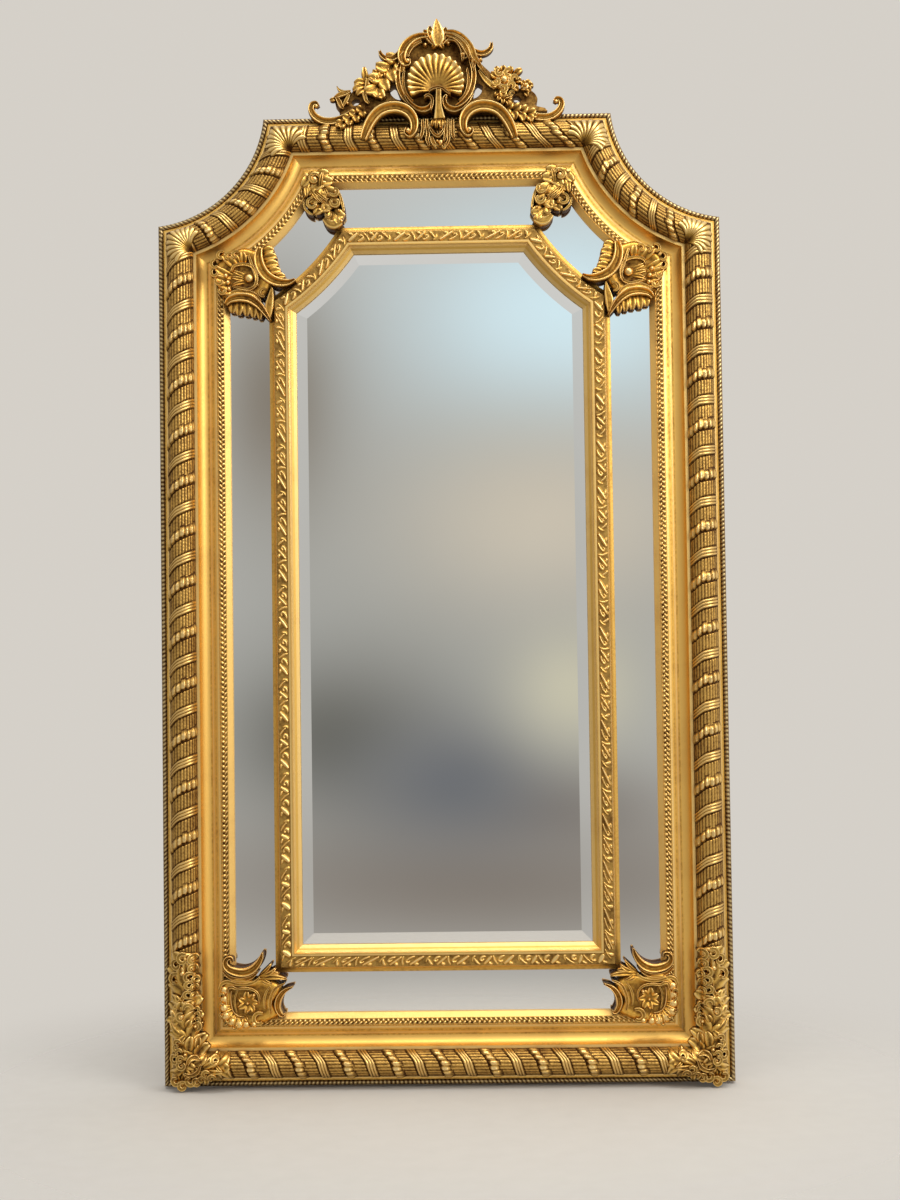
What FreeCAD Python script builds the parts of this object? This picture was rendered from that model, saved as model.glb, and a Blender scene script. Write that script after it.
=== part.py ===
"""Tall gilded wall mirror with parcloses: a bevelled centre glass in an inner frame, a border of six
narrow mirrors round it, a deep outer frame with concave shoulders, and a pierced shell crest.

Millimetres. X runs to the right, Z up, and the glass faces -Y, so depths from the wall are -Y.
The origin lies on the wall plane at the centre of the back panel.
"""

import FreeCAD
import Part
import math
import os

# Overall outline of the outer frame, seen from the front
FRAME_WIDTH = 1080.0
FRAME_HEIGHT = 1850.0
SHOULDER_NOTCH = 205.0
SHOULDER_SAG = 50.0

# Widths across the outer moulding, from its outer edge to the glass
ROPE_WIDTH = 11.0
OUTER_FILLET_WIDTH = 7.0
TORUS_WIDTH = 51.0
INNER_FILLET_WIDTH = 6.0
COVE_WIDTH = 20.0
RISE_WIDTH = 17.0
BEAD_WIDTH = 14.0
LIP_WIDTH = 10.0

# Widths of the parclose glass and of the inner moulding
PARCLOSE_WIDTH = 76.0
INNER_CAVETTO_WIDTH = 12.0
FOLIAGE_WIDTH = 21.0
INNER_BAND_WIDTH = 5.0
INNER_COVE_WIDTH = 7.0
INNER_LIP_WIDTH = 7.0

# Depths from the wall
PANEL_THICKNESS = 14.0
PARCLOSE_GLASS = 4.0
CENTRE_GLASS = 5.0
ROPE_SEAT_DEPTH = 26.0
OUTER_FILLET_DEPTH = 32.0
TORUS_SEAT_DEPTH = 40.0
COVE_FOOT_DEPTH = 25.0
BEAD_SEAT_DEPTH = 28.0
BEAD_LEDGE_DEPTH = 31.0
LIP_DEPTH = 24.0
FOLIAGE_SEAT_DEPTH = 36.0
INNER_BAND_DEPTH = 39.0
INNER_LIP_DEPTH = 26.0

# Applied strips
ROPE_CROWN = 8.0
BEAD_CROWN = 4.0
FOLIAGE_CROWN = 5.0
BUNDLE_PITCH = 94.0
BUNDLE_SHARES = (
    (0.00, 0.93), (0.27, 0.95), (0.29, 1.05), (0.43, 1.05), (0.45, 0.95),
    (0.62, 0.96), (0.70, 1.00), (0.84, 1.06), (0.95, 1.00), (0.98, 0.93),
)

# Rebates and clearances
GLASS_COVER = 9.0
GLASS_GAP = 1.0
PANEL_LAP = 20.0
PANEL_GAP = 0.5
BEVEL_WIDTH = 30.0
BEVEL_DROP = 2.0
SEAT_GAP = 0.3
CUT_OVERRUN = 40.0
MITRE_STEPS = 6
MITRE_DEGREES = 45.0

HALF_WIDTH = FRAME_WIDTH / 2
HALF_HEIGHT = FRAME_HEIGHT / 2
MITRE_SHARE = math.cos(math.radians(MITRE_DEGREES))
SHOULDER_CHORD = SHOULDER_NOTCH / MITRE_SHARE
SHOULDER_RADIUS = SHOULDER_CHORD ** 2 / (8 * SHOULDER_SAG) + SHOULDER_SAG / 2
SHOULDER_OUTSET = (SHOULDER_RADIUS - SHOULDER_SAG) * MITRE_SHARE - SHOULDER_NOTCH / 2
SHOULDER_X = -HALF_WIDTH - SHOULDER_OUTSET
SHOULDER_Z = HALF_HEIGHT + SHOULDER_OUTSET

TORUS_OUTER = ROPE_WIDTH + OUTER_FILLET_WIDTH
TORUS_INNER = TORUS_OUTER + TORUS_WIDTH
TORUS_MIDDLE = TORUS_OUTER + TORUS_WIDTH / 2
TORUS_RADIUS = TORUS_WIDTH / 2
COVE_OUTER = TORUS_INNER + INNER_FILLET_WIDTH
COVE_INNER = COVE_OUTER + COVE_WIDTH
BEAD_OUTER = COVE_INNER + RISE_WIDTH
BEAD_INNER = BEAD_OUTER + BEAD_WIDTH
OUTER_SIGHT = BEAD_INNER + LIP_WIDTH
INNER_EDGE = OUTER_SIGHT + PARCLOSE_WIDTH
FOLIAGE_OUTER = INNER_EDGE + INNER_CAVETTO_WIDTH
FOLIAGE_INNER = FOLIAGE_OUTER + FOLIAGE_WIDTH
BAND_INNER = FOLIAGE_INNER + INNER_BAND_WIDTH
INNER_COVE_END = BAND_INNER + INNER_COVE_WIDTH
INNER_SIGHT = INNER_COVE_END + INNER_LIP_WIDTH
PARCLOSE_FRONT = PANEL_THICKNESS + PARCLOSE_GLASS
CENTRE_FRONT = PANEL_THICKNESS + CENTRE_GLASS
GLASS_EDGE = OUTER_SIGHT - GLASS_COVER
PANEL_EDGE = GLASS_EDGE - PANEL_LAP
CELL_REACH = INNER_SIGHT + CUT_OVERRUN
DEPTH_AXIS = FreeCAD.Vector(0, 1, 0)
SIDE_AXIS = FreeCAD.Vector(1, 0, 0)
ORIGIN = FreeCAD.Vector(0, 0, 0)

nodes = {}


def at(x, z, depth=0):
    """Point of the mirror, x to the right, z up and depth in front of the wall."""
    return FreeCAD.Vector(x, -depth, z)


def mirrored(shape):
    """The same shape on the other side of the centre line."""
    return shape.mirror(ORIGIN, SIDE_AXIS)


def polygon(points):
    """Closed wire through points."""
    return Part.makePolygon(list(points) + [points[0]])


def prism(wire, depth_from, depth_to):
    """Solid between two depths on a wire drawn at the wall plane."""
    face = Part.Face(wire)
    face.translate(FreeCAD.Vector(0, -depth_from, 0))
    return face.extrude(FreeCAD.Vector(0, depth_from - depth_to, 0))


def single(shape):
    """The one solid of a Boolean result."""
    solids = shape.Solids
    return solids[0] if len(solids) == 1 else Part.makeCompound(solids)


# Geometry of the outline and its mitres

def shoulder_leg(offset):
    """Far leg of the point where a straight edge and the shoulder arc meet, both moved in by offset."""
    near = SHOULDER_OUTSET + offset
    return math.sqrt((SHOULDER_RADIUS + offset) ** 2 - near ** 2)


def low_mitre(offset):
    """Joint of stile and left shoulder at an offset from the outline."""
    return at(-HALF_WIDTH + offset, SHOULDER_Z - shoulder_leg(offset))


def high_mitre(offset):
    """Joint of left shoulder and top rail at an offset from the outline."""
    return at(SHOULDER_X + shoulder_leg(offset), HALF_HEIGHT - offset)


def mitre_edge(mitre, offset_from, offset_to):
    """Curved mitre line, along which a straight and a curved moulding of one profile meet."""
    curve = Part.BSplineCurve()
    step = (offset_to - offset_from) / MITRE_STEPS
    curve.interpolate([mitre(offset_from + step * index) for index in range(MITRE_STEPS + 1)])
    return curve.toShape()


def line(start, end):
    """Straight edge."""
    return Part.LineSegment(start, end).toShape()


def flip(point):
    """Point on the other side of the centre line."""
    return FreeCAD.Vector(-point.x, point.y, point.z)


def closed_outline(offset, depth=0):
    """Wire of the whole outline moved in by offset, with its six edges."""
    bottom = at(-HALF_WIDTH + offset, -HALF_HEIGHT + offset)
    low = low_mitre(offset)
    high = high_mitre(offset)
    diagonal = (SHOULDER_RADIUS + offset) / math.sqrt(2)
    middle = at(SHOULDER_X + diagonal, SHOULDER_Z - diagonal)
    wire = Part.Wire([
        line(flip(bottom), bottom),
        line(bottom, low),
        Part.Arc(low, middle, high).toShape(),
        line(high, flip(high)),
        Part.Arc(flip(high), flip(middle), flip(low)).toShape(),
        line(flip(low), flip(bottom)),
    ])
    wire.translate(FreeCAD.Vector(0, -depth, 0))
    return wire


def build_cells():
    """Region of the wall plane that belongs to each member, bounded by the mitres."""
    outside = -CUT_OVERRUN / 2
    corner = at(-HALF_WIDTH + outside, -HALF_HEIGHT + outside)
    inner = at(-HALF_WIDTH + CELL_REACH, -HALF_HEIGHT + CELL_REACH)
    low_edge = mitre_edge(low_mitre, outside, CELL_REACH)
    high_edge = mitre_edge(high_mitre, outside, CELL_REACH)
    wires = {
        "bottom": polygon([corner, flip(corner), flip(inner), inner]),
        "left": Part.Wire([
            line(corner, inner),
            line(inner, low_mitre(CELL_REACH)),
            low_edge,
            line(low_mitre(outside), corner),
        ]),
        "left_shoulder": Part.Wire(Part.__sortEdges__([
            low_edge,
            line(low_mitre(CELL_REACH), high_mitre(CELL_REACH)),
            high_edge,
            line(high_mitre(outside), low_mitre(outside)),
        ])),
        "top": Part.Wire(Part.__sortEdges__([
            high_edge,
            line(high_mitre(CELL_REACH), flip(high_mitre(CELL_REACH))),
            mirrored(high_edge),
            line(flip(high_mitre(outside)), high_mitre(outside)),
        ])),
    }
    reach = CUT_OVERRUN + TORUS_SEAT_DEPTH + TORUS_WIDTH
    return {name: prism(wire, -CUT_OVERRUN, reach) for name, wire in wires.items()}


CELLS = build_cells()
STRAIGHT_AND_LEFT = ("bottom", "left", "left_shoulder", "top")


def profile_wire(steps, place):
    """Wire of a moulding's section: each step is a point, or a via point and an end point of an arc."""
    edges = []
    here = steps[0]
    for step in steps[1:] + [steps[0]]:
        if len(step) == 4:
            via, end = step[:2], step[2:]
            edges.append(Part.Arc(place(*here), place(*via), place(*end)).toShape())
        else:
            end = step
            edges.append(line(place(*here), place(*end)))
        here = end
    return Part.Wire(edges)


def swept(member, steps):
    """Moulding of a given section, run along one member and cut at its mitres."""
    if member == "left_shoulder":
        centre = at(SHOULDER_X, SHOULDER_Z)
        start = lambda u, d: at(SHOULDER_X + SHOULDER_RADIUS + u, SHOULDER_Z, d)
        bar = Part.Face(profile_wire(steps, start)).revolve(centre, DEPTH_AXIS, 90)
    elif member == "left":
        start = lambda u, d: at(-HALF_WIDTH + u, -HALF_HEIGHT, d)
        bar = Part.Face(profile_wire(steps, start)).extrude(FreeCAD.Vector(0, 0, FRAME_HEIGHT))
    else:
        sign = 1 if member == "bottom" else -1
        start = lambda u, d: at(-HALF_WIDTH, sign * (u - HALF_HEIGHT), d)
        bar = Part.Face(profile_wire(steps, start)).extrude(FreeCAD.Vector(FRAME_WIDTH, 0, 0))
    return single(bar.common(CELLS[member]))


def run_all(steps):
    """The same moulding on all six members, by member name."""
    made = {member: swept(member, steps) for member in STRAIGHT_AND_LEFT}
    made["right"] = mirrored(made["left"])
    made["right_shoulder"] = mirrored(made["left_shoulder"])
    return made


# Outer frame: six mitred lengths of one deep moulding

def arc_point(centre, radius, degrees):
    """Point on a circle in the plane of a section."""
    angle = math.radians(degrees)
    return (centre[0] + radius * math.cos(angle), centre[1] + radius * math.sin(angle))


def outer_profile():
    """Section of the outer moulding, from the back's outer corner round to the glass rebate."""
    cove_drop = TORUS_SEAT_DEPTH - COVE_FOOT_DEPTH
    cove_bow = 1 - MITRE_SHARE
    cove_via = (COVE_OUTER + COVE_WIDTH * cove_bow, COVE_FOOT_DEPTH + cove_drop * cove_bow)
    rise_via = (COVE_INNER + RISE_WIDTH / 2, (COVE_FOOT_DEPTH + BEAD_LEDGE_DEPTH) / 2 + SEAT_GAP)
    return [
        (0, PANEL_THICKNESS),
        (0, ROPE_SEAT_DEPTH),
        (ROPE_WIDTH, ROPE_SEAT_DEPTH),
        (ROPE_WIDTH, OUTER_FILLET_DEPTH),
        (TORUS_OUTER, OUTER_FILLET_DEPTH),
        (TORUS_OUTER, TORUS_SEAT_DEPTH),
        (COVE_OUTER, TORUS_SEAT_DEPTH),
        (*cove_via, COVE_INNER, COVE_FOOT_DEPTH),
        (*rise_via, BEAD_OUTER, BEAD_LEDGE_DEPTH),
        (BEAD_OUTER, BEAD_SEAT_DEPTH),
        (BEAD_INNER, BEAD_SEAT_DEPTH),
        (BEAD_INNER, BEAD_LEDGE_DEPTH),
        (OUTER_SIGHT, LIP_DEPTH),
        (OUTER_SIGHT, PARCLOSE_FRONT),
        (GLASS_EDGE, PARCLOSE_FRONT),
        (GLASS_EDGE, PANEL_THICKNESS),
    ]


def strip_profile(offset_from, offset_to, seat, crown):
    """Section of an applied strip with a flat back and a round front."""
    middle = (offset_from + offset_to) / 2
    half = (offset_to - offset_from) / 2
    shoulder = seat + max(crown / 4, crown - half)
    return [
        (offset_from, seat),
        (offset_from, shoulder),
        (middle, seat + crown, offset_to, shoulder),
        (offset_to, seat),
    ]


def flat_profile(offset_from, offset_to, depth_from, depth_to):
    """Section of a flat strip."""
    return [
        (offset_from, depth_from),
        (offset_from, depth_to),
        (offset_to, depth_to),
        (offset_to, depth_from),
    ]


def outer_frame():
    """Moulding lengths, and the rope edge and bead course let into them."""
    for member, shape in run_all(outer_profile()).items():
        name = {"bottom": "bottom_rail", "top": "top_rail"}.get(member)
        nodes[name or member + ("_rail" if "shoulder" in member else "_stile")] = shape
    rope = run_all(strip_profile(0, ROPE_WIDTH, ROPE_SEAT_DEPTH, ROPE_CROWN))
    nodes["edge_rope"] = Part.makeCompound(list(rope.values()))
    bead = run_all(strip_profile(BEAD_OUTER, BEAD_INNER, BEAD_SEAT_DEPTH, BEAD_CROWN))
    nodes["bead_course"] = Part.makeCompound(list(bead.values()))


# Ribbon-and-reed strips: half-round bundles bound with ribbons

def station(member, run, offset, depth):
    """Point at a distance along a member, an offset from the outline and a depth."""
    if member == "left_shoulder":
        angle = run / (SHOULDER_RADIUS + TORUS_MIDDLE) - math.pi / 2
        reach = SHOULDER_RADIUS + offset
        return at(SHOULDER_X + reach * math.cos(angle), SHOULDER_Z + reach * math.sin(angle), depth)
    if member == "left":
        return at(-HALF_WIDTH + offset, -HALF_HEIGHT + run, depth)
    sign = 1 if member == "bottom" else -1
    return at(-HALF_WIDTH + run, sign * (offset - HALF_HEIGHT), depth)


def half_round(member, run, radius):
    """Half-round section of a strip on the seat of the outer moulding."""
    ends = [
        station(member, run, TORUS_MIDDLE - radius, TORUS_SEAT_DEPTH),
        station(member, run, TORUS_MIDDLE, TORUS_SEAT_DEPTH + radius),
        station(member, run, TORUS_MIDDLE + radius, TORUS_SEAT_DEPTH),
    ]
    return Part.Wire([Part.Arc(*ends).toShape(), line(ends[2], ends[0])])


def bundle_strip(member, run_from, run_to, tips_forward):
    """Strip of bound bundles between two distances along a member."""
    count = max(1, round((run_to - run_from) / BUNDLE_PITCH))
    pitch = (run_to - run_from) / count
    stations = []
    for index in range(count):
        for place_share, radius_share in BUNDLE_SHARES:
            stations.append(((index + place_share) * pitch, radius_share * TORUS_RADIUS))
    stations.append((run_to - run_from, stations[0][1]))
    if tips_forward:
        runs = [(run_from + run, radius) for run, radius in stations]
    else:
        runs = [(run_to - run, radius) for run, radius in reversed(stations)]
    return Part.makeLoft([half_round(member, *entry) for entry in runs], True, True)


# Corner shells on the upper mitres
SHELL_LOBES = 9
SHELL_HEIGHT = 27.0
SHELL_FLUTE = 3.5
SHELL_RIM = 12.0
SHELL_ROOT = 5.0
SHELL_EDGE = 4.0
LOW_SHELL_ANGLES = (96.0, 192.0)
HIGH_SHELL_ANGLES = (62.0, 174.0)


def shell_reach(root, angle):
    """Distance from a shell's root to the outer edge of the strip, in one direction."""
    edge = TORUS_OUTER - SHELL_EDGE
    way = at(math.cos(angle), math.sin(angle))
    reaches = []
    if way.x < 0:
        reaches.append((-HALF_WIDTH + edge - root.x) / way.x)
    if way.z > 0:
        reaches.append((HALF_HEIGHT - edge - root.z) / way.z)
    rest = root - at(SHOULDER_X, SHOULDER_Z)
    half = rest.dot(way)
    square = half * half - rest.dot(rest) + (SHOULDER_RADIUS + edge) ** 2
    if square > 0 and half < 0:
        reaches.append(-half - math.sqrt(square))
    return min(reaches)


def fan_section(root, angle, reach, seat, height, rim):
    """Section of a fluted fan in one direction from its root: flat back, bowed front."""
    way = at(math.cos(angle), math.sin(angle))
    forward = FreeCAD.Vector(0, -1, 0)
    start = root + way * SHELL_ROOT + forward * seat
    end = root + way * reach + forward * seat
    top_start = start + forward * rim
    top_end = end + forward * rim
    crown = (start + end) * 0.5 + forward * height
    edges = [line(start, top_start), Part.Arc(top_start, crown, top_end).toShape()]
    return Part.Wire(edges + [line(top_end, end), line(end, start)])


def fan(root, angles, lobes, reach_of, seat, height, flute, rim):
    """Fluted fan between two directions, ribs and grooves by turns."""
    sections = []
    steps = 2 * lobes
    for index in range(steps + 1):
        angle = math.radians(angles[0] + (angles[1] - angles[0]) * index / steps)
        rib = index % 2
        reach = reach_of(angle) - (0 if rib else flute)
        sections.append(fan_section(root, angle, reach, seat, height - (0 if rib else flute), rim))
    return Part.makeLoft(sections, True, True)


def wedge(root, angles, reach):
    """Prism over the sector that a fan covers, to trim its neighbours."""
    points = [root]
    for share in (0, 0.25, 0.5, 0.75, 1):
        angle = math.radians(angles[0] + (angles[1] - angles[0]) * share)
        points.append(root + at(reach * math.cos(angle), reach * math.sin(angle)))
    return prism(polygon(points), -CUT_OVERRUN, TORUS_SEAT_DEPTH + TORUS_WIDTH + CUT_OVERRUN)


# Leaf pieces on the bottom corners, one arm up the stile and one along the rail
LEAF_STILE_ARM = 236.0
LEAF_RAIL_ARM = 128.0
LEAF_ARM_SHARES = (
    (0.00, 1.10), (0.14, 1.16), (0.20, 1.02), (0.36, 1.13), (0.43, 0.99), (0.58, 1.09),
    (0.64, 0.95), (0.78, 1.02), (0.84, 0.88), (0.96, 0.90), (1.00, 0.80),
)


def leaf_arm(member, length):
    """Lobed half-round arm of a corner leaf, trimmed at the mitre."""
    sections = [half_round(member, share * length, swell * TORUS_RADIUS) for share, swell in LEAF_ARM_SHARES]
    return Part.makeLoft(sections, True, True).common(CELLS[member])


def corner_leaf():
    """Leaf piece on the left bottom corner."""
    arms = leaf_arm("left", LEAF_STILE_ARM).fuse(leaf_arm("bottom", LEAF_RAIL_ARM))
    return single(arms.removeSplitter())


def torus_layer():
    """Strips, shells and corner leaves that lie on the outer moulding's broad seat."""
    low_root = low_mitre(TORUS_INNER)
    high_root = high_mitre(TORUS_INNER)
    reach = TORUS_WIDTH * 3
    low_wedge = wedge(low_root, LOW_SHELL_ANGLES, reach)
    high_wedge = wedge(high_root, HIGH_SHELL_ANGLES, reach)
    shoulder_length = (SHOULDER_RADIUS + TORUS_MIDDLE) * math.pi / 2
    stile_end = low_root.z + HALF_HEIGHT + TORUS_WIDTH
    strips = {
        "left": bundle_strip("left", LEAF_STILE_ARM, stile_end, False),
        "left_shoulder": bundle_strip("left_shoulder", 0, shoulder_length, False),
        "bottom": bundle_strip("bottom", LEAF_RAIL_ARM, FRAME_WIDTH - LEAF_RAIL_ARM, False),
        "top": bundle_strip("top", SHOULDER_NOTCH, FRAME_WIDTH - SHOULDER_NOTCH, True),
    }
    both_wedges = Part.makeCompound([low_wedge, high_wedge])
    for member in ("left", "left_shoulder"):
        trimmed = strips[member].common(CELLS[member]).cut(both_wedges)
        nodes[member + "_torus"] = max(trimmed.Solids, key=lambda solid: solid.Volume)
        nodes[member.replace("left", "right") + "_torus"] = mirrored(nodes[member + "_torus"])
    nodes["bottom_torus"] = strips["bottom"]
    top = strips["top"].common(CELLS["top"]).cut(high_wedge).cut(mirrored(high_wedge))
    nodes["top_torus"] = max(top.Solids, key=lambda solid: solid.Volume)
    for name, root, angles in (
        ("lower_shell", low_root, LOW_SHELL_ANGLES),
        ("upper_shell", high_root, HIGH_SHELL_ANGLES),
    ):
        reach_of = lambda angle: shell_reach(root, angle)
        shell = fan(root, angles, SHELL_LOBES, reach_of, TORUS_SEAT_DEPTH, SHELL_HEIGHT, SHELL_FLUTE, SHELL_RIM)
        nodes["left_" + name] = shell
        nodes["right_" + name] = mirrored(shell)
    nodes["left_corner_leaf"] = corner_leaf()
    nodes["right_corner_leaf"] = mirrored(nodes["left_corner_leaf"])


# Mirrors and the panel that carries them

def mirrors():
    """Back panel, six parclose mirrors and the bevelled centre mirror."""
    nodes["back_panel"] = prism(closed_outline(PANEL_EDGE + PANEL_GAP), 0, PANEL_THICKNESS)
    inner_glass_edge = INNER_EDGE + GLASS_COVER
    steps = flat_profile(GLASS_EDGE + GLASS_GAP, inner_glass_edge, PANEL_THICKNESS, PARCLOSE_FRONT)
    for member, shape in run_all(steps).items():
        nodes[member + "_parclose_mirror"] = shape
    edge = INNER_SIGHT - GLASS_COVER
    base = prism(closed_outline(edge), PANEL_THICKNESS, CENTRE_FRONT - BEVEL_DROP)
    rims = [closed_outline(edge, CENTRE_FRONT - BEVEL_DROP), closed_outline(edge + BEVEL_WIDTH, CENTRE_FRONT)]
    nodes["centre_mirror"] = single(base.fuse(Part.makeLoft(rims, True, True)))


# Inner frame: six mitred lengths that lap the parclose mirrors and the centre mirror

def inner_profile():
    """Section of the inner moulding, from its foot on the panel round to the sight edge."""
    foot_from = INNER_EDGE + GLASS_COVER + GLASS_GAP
    foot_to = INNER_SIGHT - GLASS_COVER - GLASS_GAP
    edge_depth = PARCLOSE_FRONT + GLASS_GAP * 2
    bow = MITRE_SHARE
    rise = FOLIAGE_SEAT_DEPTH - edge_depth
    via = (INNER_EDGE + INNER_CAVETTO_WIDTH * bow, FOLIAGE_SEAT_DEPTH - rise * bow)
    drop = INNER_BAND_DEPTH - INNER_LIP_DEPTH
    cove_via = (INNER_COVE_END - INNER_COVE_WIDTH * bow, INNER_LIP_DEPTH + drop * (1 - bow))
    return [
        (foot_from, PANEL_THICKNESS),
        (foot_from, PARCLOSE_FRONT),
        (INNER_EDGE, PARCLOSE_FRONT),
        (INNER_EDGE, edge_depth),
        (*via, FOLIAGE_OUTER, FOLIAGE_SEAT_DEPTH),
        (FOLIAGE_INNER, FOLIAGE_SEAT_DEPTH),
        (FOLIAGE_INNER, INNER_BAND_DEPTH),
        (BAND_INNER, INNER_BAND_DEPTH),
        (*cove_via, INNER_COVE_END, INNER_LIP_DEPTH),
        (INNER_SIGHT, CENTRE_FRONT + GLASS_GAP * 2),
        (INNER_SIGHT, CENTRE_FRONT),
        (foot_to, CENTRE_FRONT),
        (foot_to, PANEL_THICKNESS),
    ]


def inner_frame():
    """Inner moulding lengths and the foliage strip on them."""
    for member, shape in run_all(inner_profile()).items():
        nodes["inner_" + member] = shape
    foliage = run_all(strip_profile(FOLIAGE_OUTER, FOLIAGE_INNER, FOLIAGE_SEAT_DEPTH, FOLIAGE_CROWN))
    nodes["inner_foliage"] = Part.makeCompound(list(foliage.values()))


# Carved forms that several ornaments share
LEAF_SHARES = (
    (0.00, 0.42, 0.70), (0.14, 0.78, 1.00), (0.24, 0.60, 0.88), (0.40, 1.00, 1.00), (0.51, 0.74, 0.86),
    (0.66, 0.86, 0.92), (0.77, 0.54, 0.78), (0.90, 0.40, 0.66), (1.00, 0.10, 0.36),
)
PETAL_COUNT = 5
LEAF_VEIN_SHARE = 0.7
LEAF_EDGE_SHARE = 0.3


def leaf(root, degrees, length, width, thickness, seat, lift=0):
    """Lobed leaf with a sunk vein, lying on a seat and lifting off it towards its tip."""
    angle = math.radians(degrees)
    way = at(math.cos(angle), math.sin(angle))
    side = at(-math.sin(angle), math.cos(angle))
    sections = []
    for run_share, width_share, height_share in LEAF_SHARES:
        half = width * width_share / 2
        top = thickness * height_share
        back = seat + lift * run_share ** 2
        outline = (
            (-half, 0), (-half, top * LEAF_EDGE_SHARE), (-half / 2, top), (0, top * LEAF_VEIN_SHARE),
            (half / 2, top), (half, top * LEAF_EDGE_SHARE), (half, 0),
        )
        middle = root + way * (length * run_share)
        sections.append(polygon([middle + side * out + at(0, 0, back + up) for out, up in outline]))
    return Part.makeLoft(sections, True, True)


def ball(x, z, depth, radius):
    """Sphere at a place and depth."""
    return Part.makeSphere(radius, at(x, z, depth))


def in_front(shape, depth):
    """What lies in front of a plane parallel to the wall."""
    box = shape.BoundBox
    block = Part.makeBox(
        box.XLength + 2 * CUT_OVERRUN, box.YLength + CUT_OVERRUN, box.ZLength + 2 * CUT_OVERRUN,
        FreeCAD.Vector(box.XMin - CUT_OVERRUN, -depth, box.ZMin - CUT_OVERRUN),
    )
    return shape.cut(block)


def rosette(x, z, radius, seat):
    """Five-petalled flower with a domed heart, flat at the back."""
    petal = radius * PETAL_SHARE
    parts = [ball(x, z, seat + petal * PETAL_SHARE, radius * HEART_SHARE)]
    for index in range(PETAL_COUNT):
        angle = 2 * math.pi * index / PETAL_COUNT + math.pi / 2
        out = radius - petal
        parts.append(ball(x + out * math.cos(angle), z + out * math.sin(angle), seat, petal))
    flower = parts[0].multiFuse(parts[1:])
    return in_front(flower, seat)


PETAL_SHARE = 0.42
HEART_SHARE = 0.36


def rod(path, radius):
    """Round bar along a smooth path of edges."""
    wire = Part.Wire(path)
    start = path[0].valueAt(path[0].FirstParameter)
    tangent = path[0].tangentAt(path[0].FirstParameter)
    section = Part.Wire(Part.Circle(start, tangent, radius).toShape())
    return wire.makePipeShell([section], True, True)


# Ornaments over the joints of the parclose mirrors
CARTOUCHE_REACH = 38.0
CARTOUCHE_PLATE = 6.0
CARTOUCHE_BAR = 5.0
CARTOUCHE_RIM = 10.5
CARTOUCHE_VOLUTE = 7.0
CARTOUCHE_BOSS = 15.0
CARTOUCHE_LOBE = 7.0
CARTOUCHE_HORN_SHARES = ((1.56, -1.72), (1.30, -0.45), (1.95, 0.62))
CARTOUCHE_BACK_SHARES = ((-1.72, 0.30), (-1.50, -1.50), (0.30, -1.72))
CARTOUCHE_HEEL_SHARES = (1.10, 1.10)
CARTOUCHE_FOOT_SHARE = 0.78
CARTOUCHE_LOBE_SHARES = ((-1.70, -0.55), (-1.62, -1.00), (-1.42, -1.42), (-1.00, -1.62), (-0.55, -1.70))
ORNAMENT_SEAT = BEAD_SEAT_DEPTH + BEAD_CROWN + SEAT_GAP
TOP_LEAF_WIDTH = 74.0
TOP_LEAF_THICKNESS = 12.0
TOP_LEAF_TIP = 6.0


def cartouche(centre, first_degrees, second_degrees):
    """Shaped plate with two scrolled hollows, one towards each mirror that it joins, and a foot on the glass."""
    first = at(math.cos(math.radians(first_degrees)), math.sin(math.radians(first_degrees)))
    second = at(math.cos(math.radians(second_degrees)), math.sin(math.radians(second_degrees)))

    across_first = (second - first * first.dot(second)).normalize()
    across_second = (first - second * first.dot(second)).normalize()
    squeeze = math.sqrt(1 - first.dot(second) ** 2)

    def place(shares, depth=0):
        ahead = first if shares[0] > 0 else across_second
        aside = second if shares[1] > 0 else across_first
        scale = CARTOUCHE_REACH * (squeeze if max(shares) < 0 else 1)
        return centre + ahead * (shares[0] * scale) + aside * (shares[1] * scale) + at(0, 0, depth)

    horn = CARTOUCHE_HORN_SHARES
    twin = [shares[::-1] for shares in horn]
    back = CARTOUCHE_BACK_SHARES
    heel = CARTOUCHE_HEEL_SHARES
    edges = [
        Part.Arc(place(horn[0]), place(horn[1]), place(horn[2])).toShape(),
        line(place(horn[2]), place(heel)),
        line(place(heel), place(twin[2])),
        Part.Arc(place(twin[2]), place(twin[1]), place(twin[0])).toShape(),
        line(place(twin[0]), place(back[0])),
        Part.Arc(*[place(shares) for shares in back]).toShape(),
        line(place(back[2]), place(horn[0])),
    ]
    front = ORNAMENT_SEAT + CARTOUCHE_PLATE
    parts = [prism(Part.Wire(edges), ORNAMENT_SEAT, front)]
    foot = CARTOUCHE_FOOT_SHARE
    corners = [(foot, foot), (-foot, foot), (-foot, -foot), (foot, -foot)]
    parts.append(prism(polygon([place(shares) for shares in corners]), PARCLOSE_FRONT, front))
    top = front + CARTOUCHE_BAR
    for ends in (horn, twin):
        hollow = Part.Arc(*[place(shares, front) for shares in ends]).toShape().Curve
        reach = hollow.Radius + CARTOUCHE_RIM
        disc = Part.makeCylinder(reach, CARTOUCHE_BAR, hollow.Center, -DEPTH_AXIS)
        parts.append(disc.common(prism(Part.Wire(edges), front, top)))
        for end in (ends[0], ends[2]):
            spot = place(end, ORNAMENT_SEAT)
            parts.append(Part.makeCylinder(CARTOUCHE_VOLUTE, top - ORNAMENT_SEAT, spot, -DEPTH_AXIS))
    parts.append(Part.makeSphere(CARTOUCHE_BOSS, place((0, 0), front - CARTOUCHE_BOSS / 4)))
    for shares in CARTOUCHE_LOBE_SHARES:
        spot = place(shares, ORNAMENT_SEAT)
        parts.append(Part.makeCylinder(CARTOUCHE_LOBE, front - ORNAMENT_SEAT + CARTOUCHE_BAR / 2, spot, -DEPTH_AXIS))
    foot_block = parts.pop(1)
    solid = in_front(parts[0].multiFuse(parts[1:]), ORNAMENT_SEAT)
    return single(solid.fuse(foot_block))


BALL_SWELL = 1.25


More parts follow.
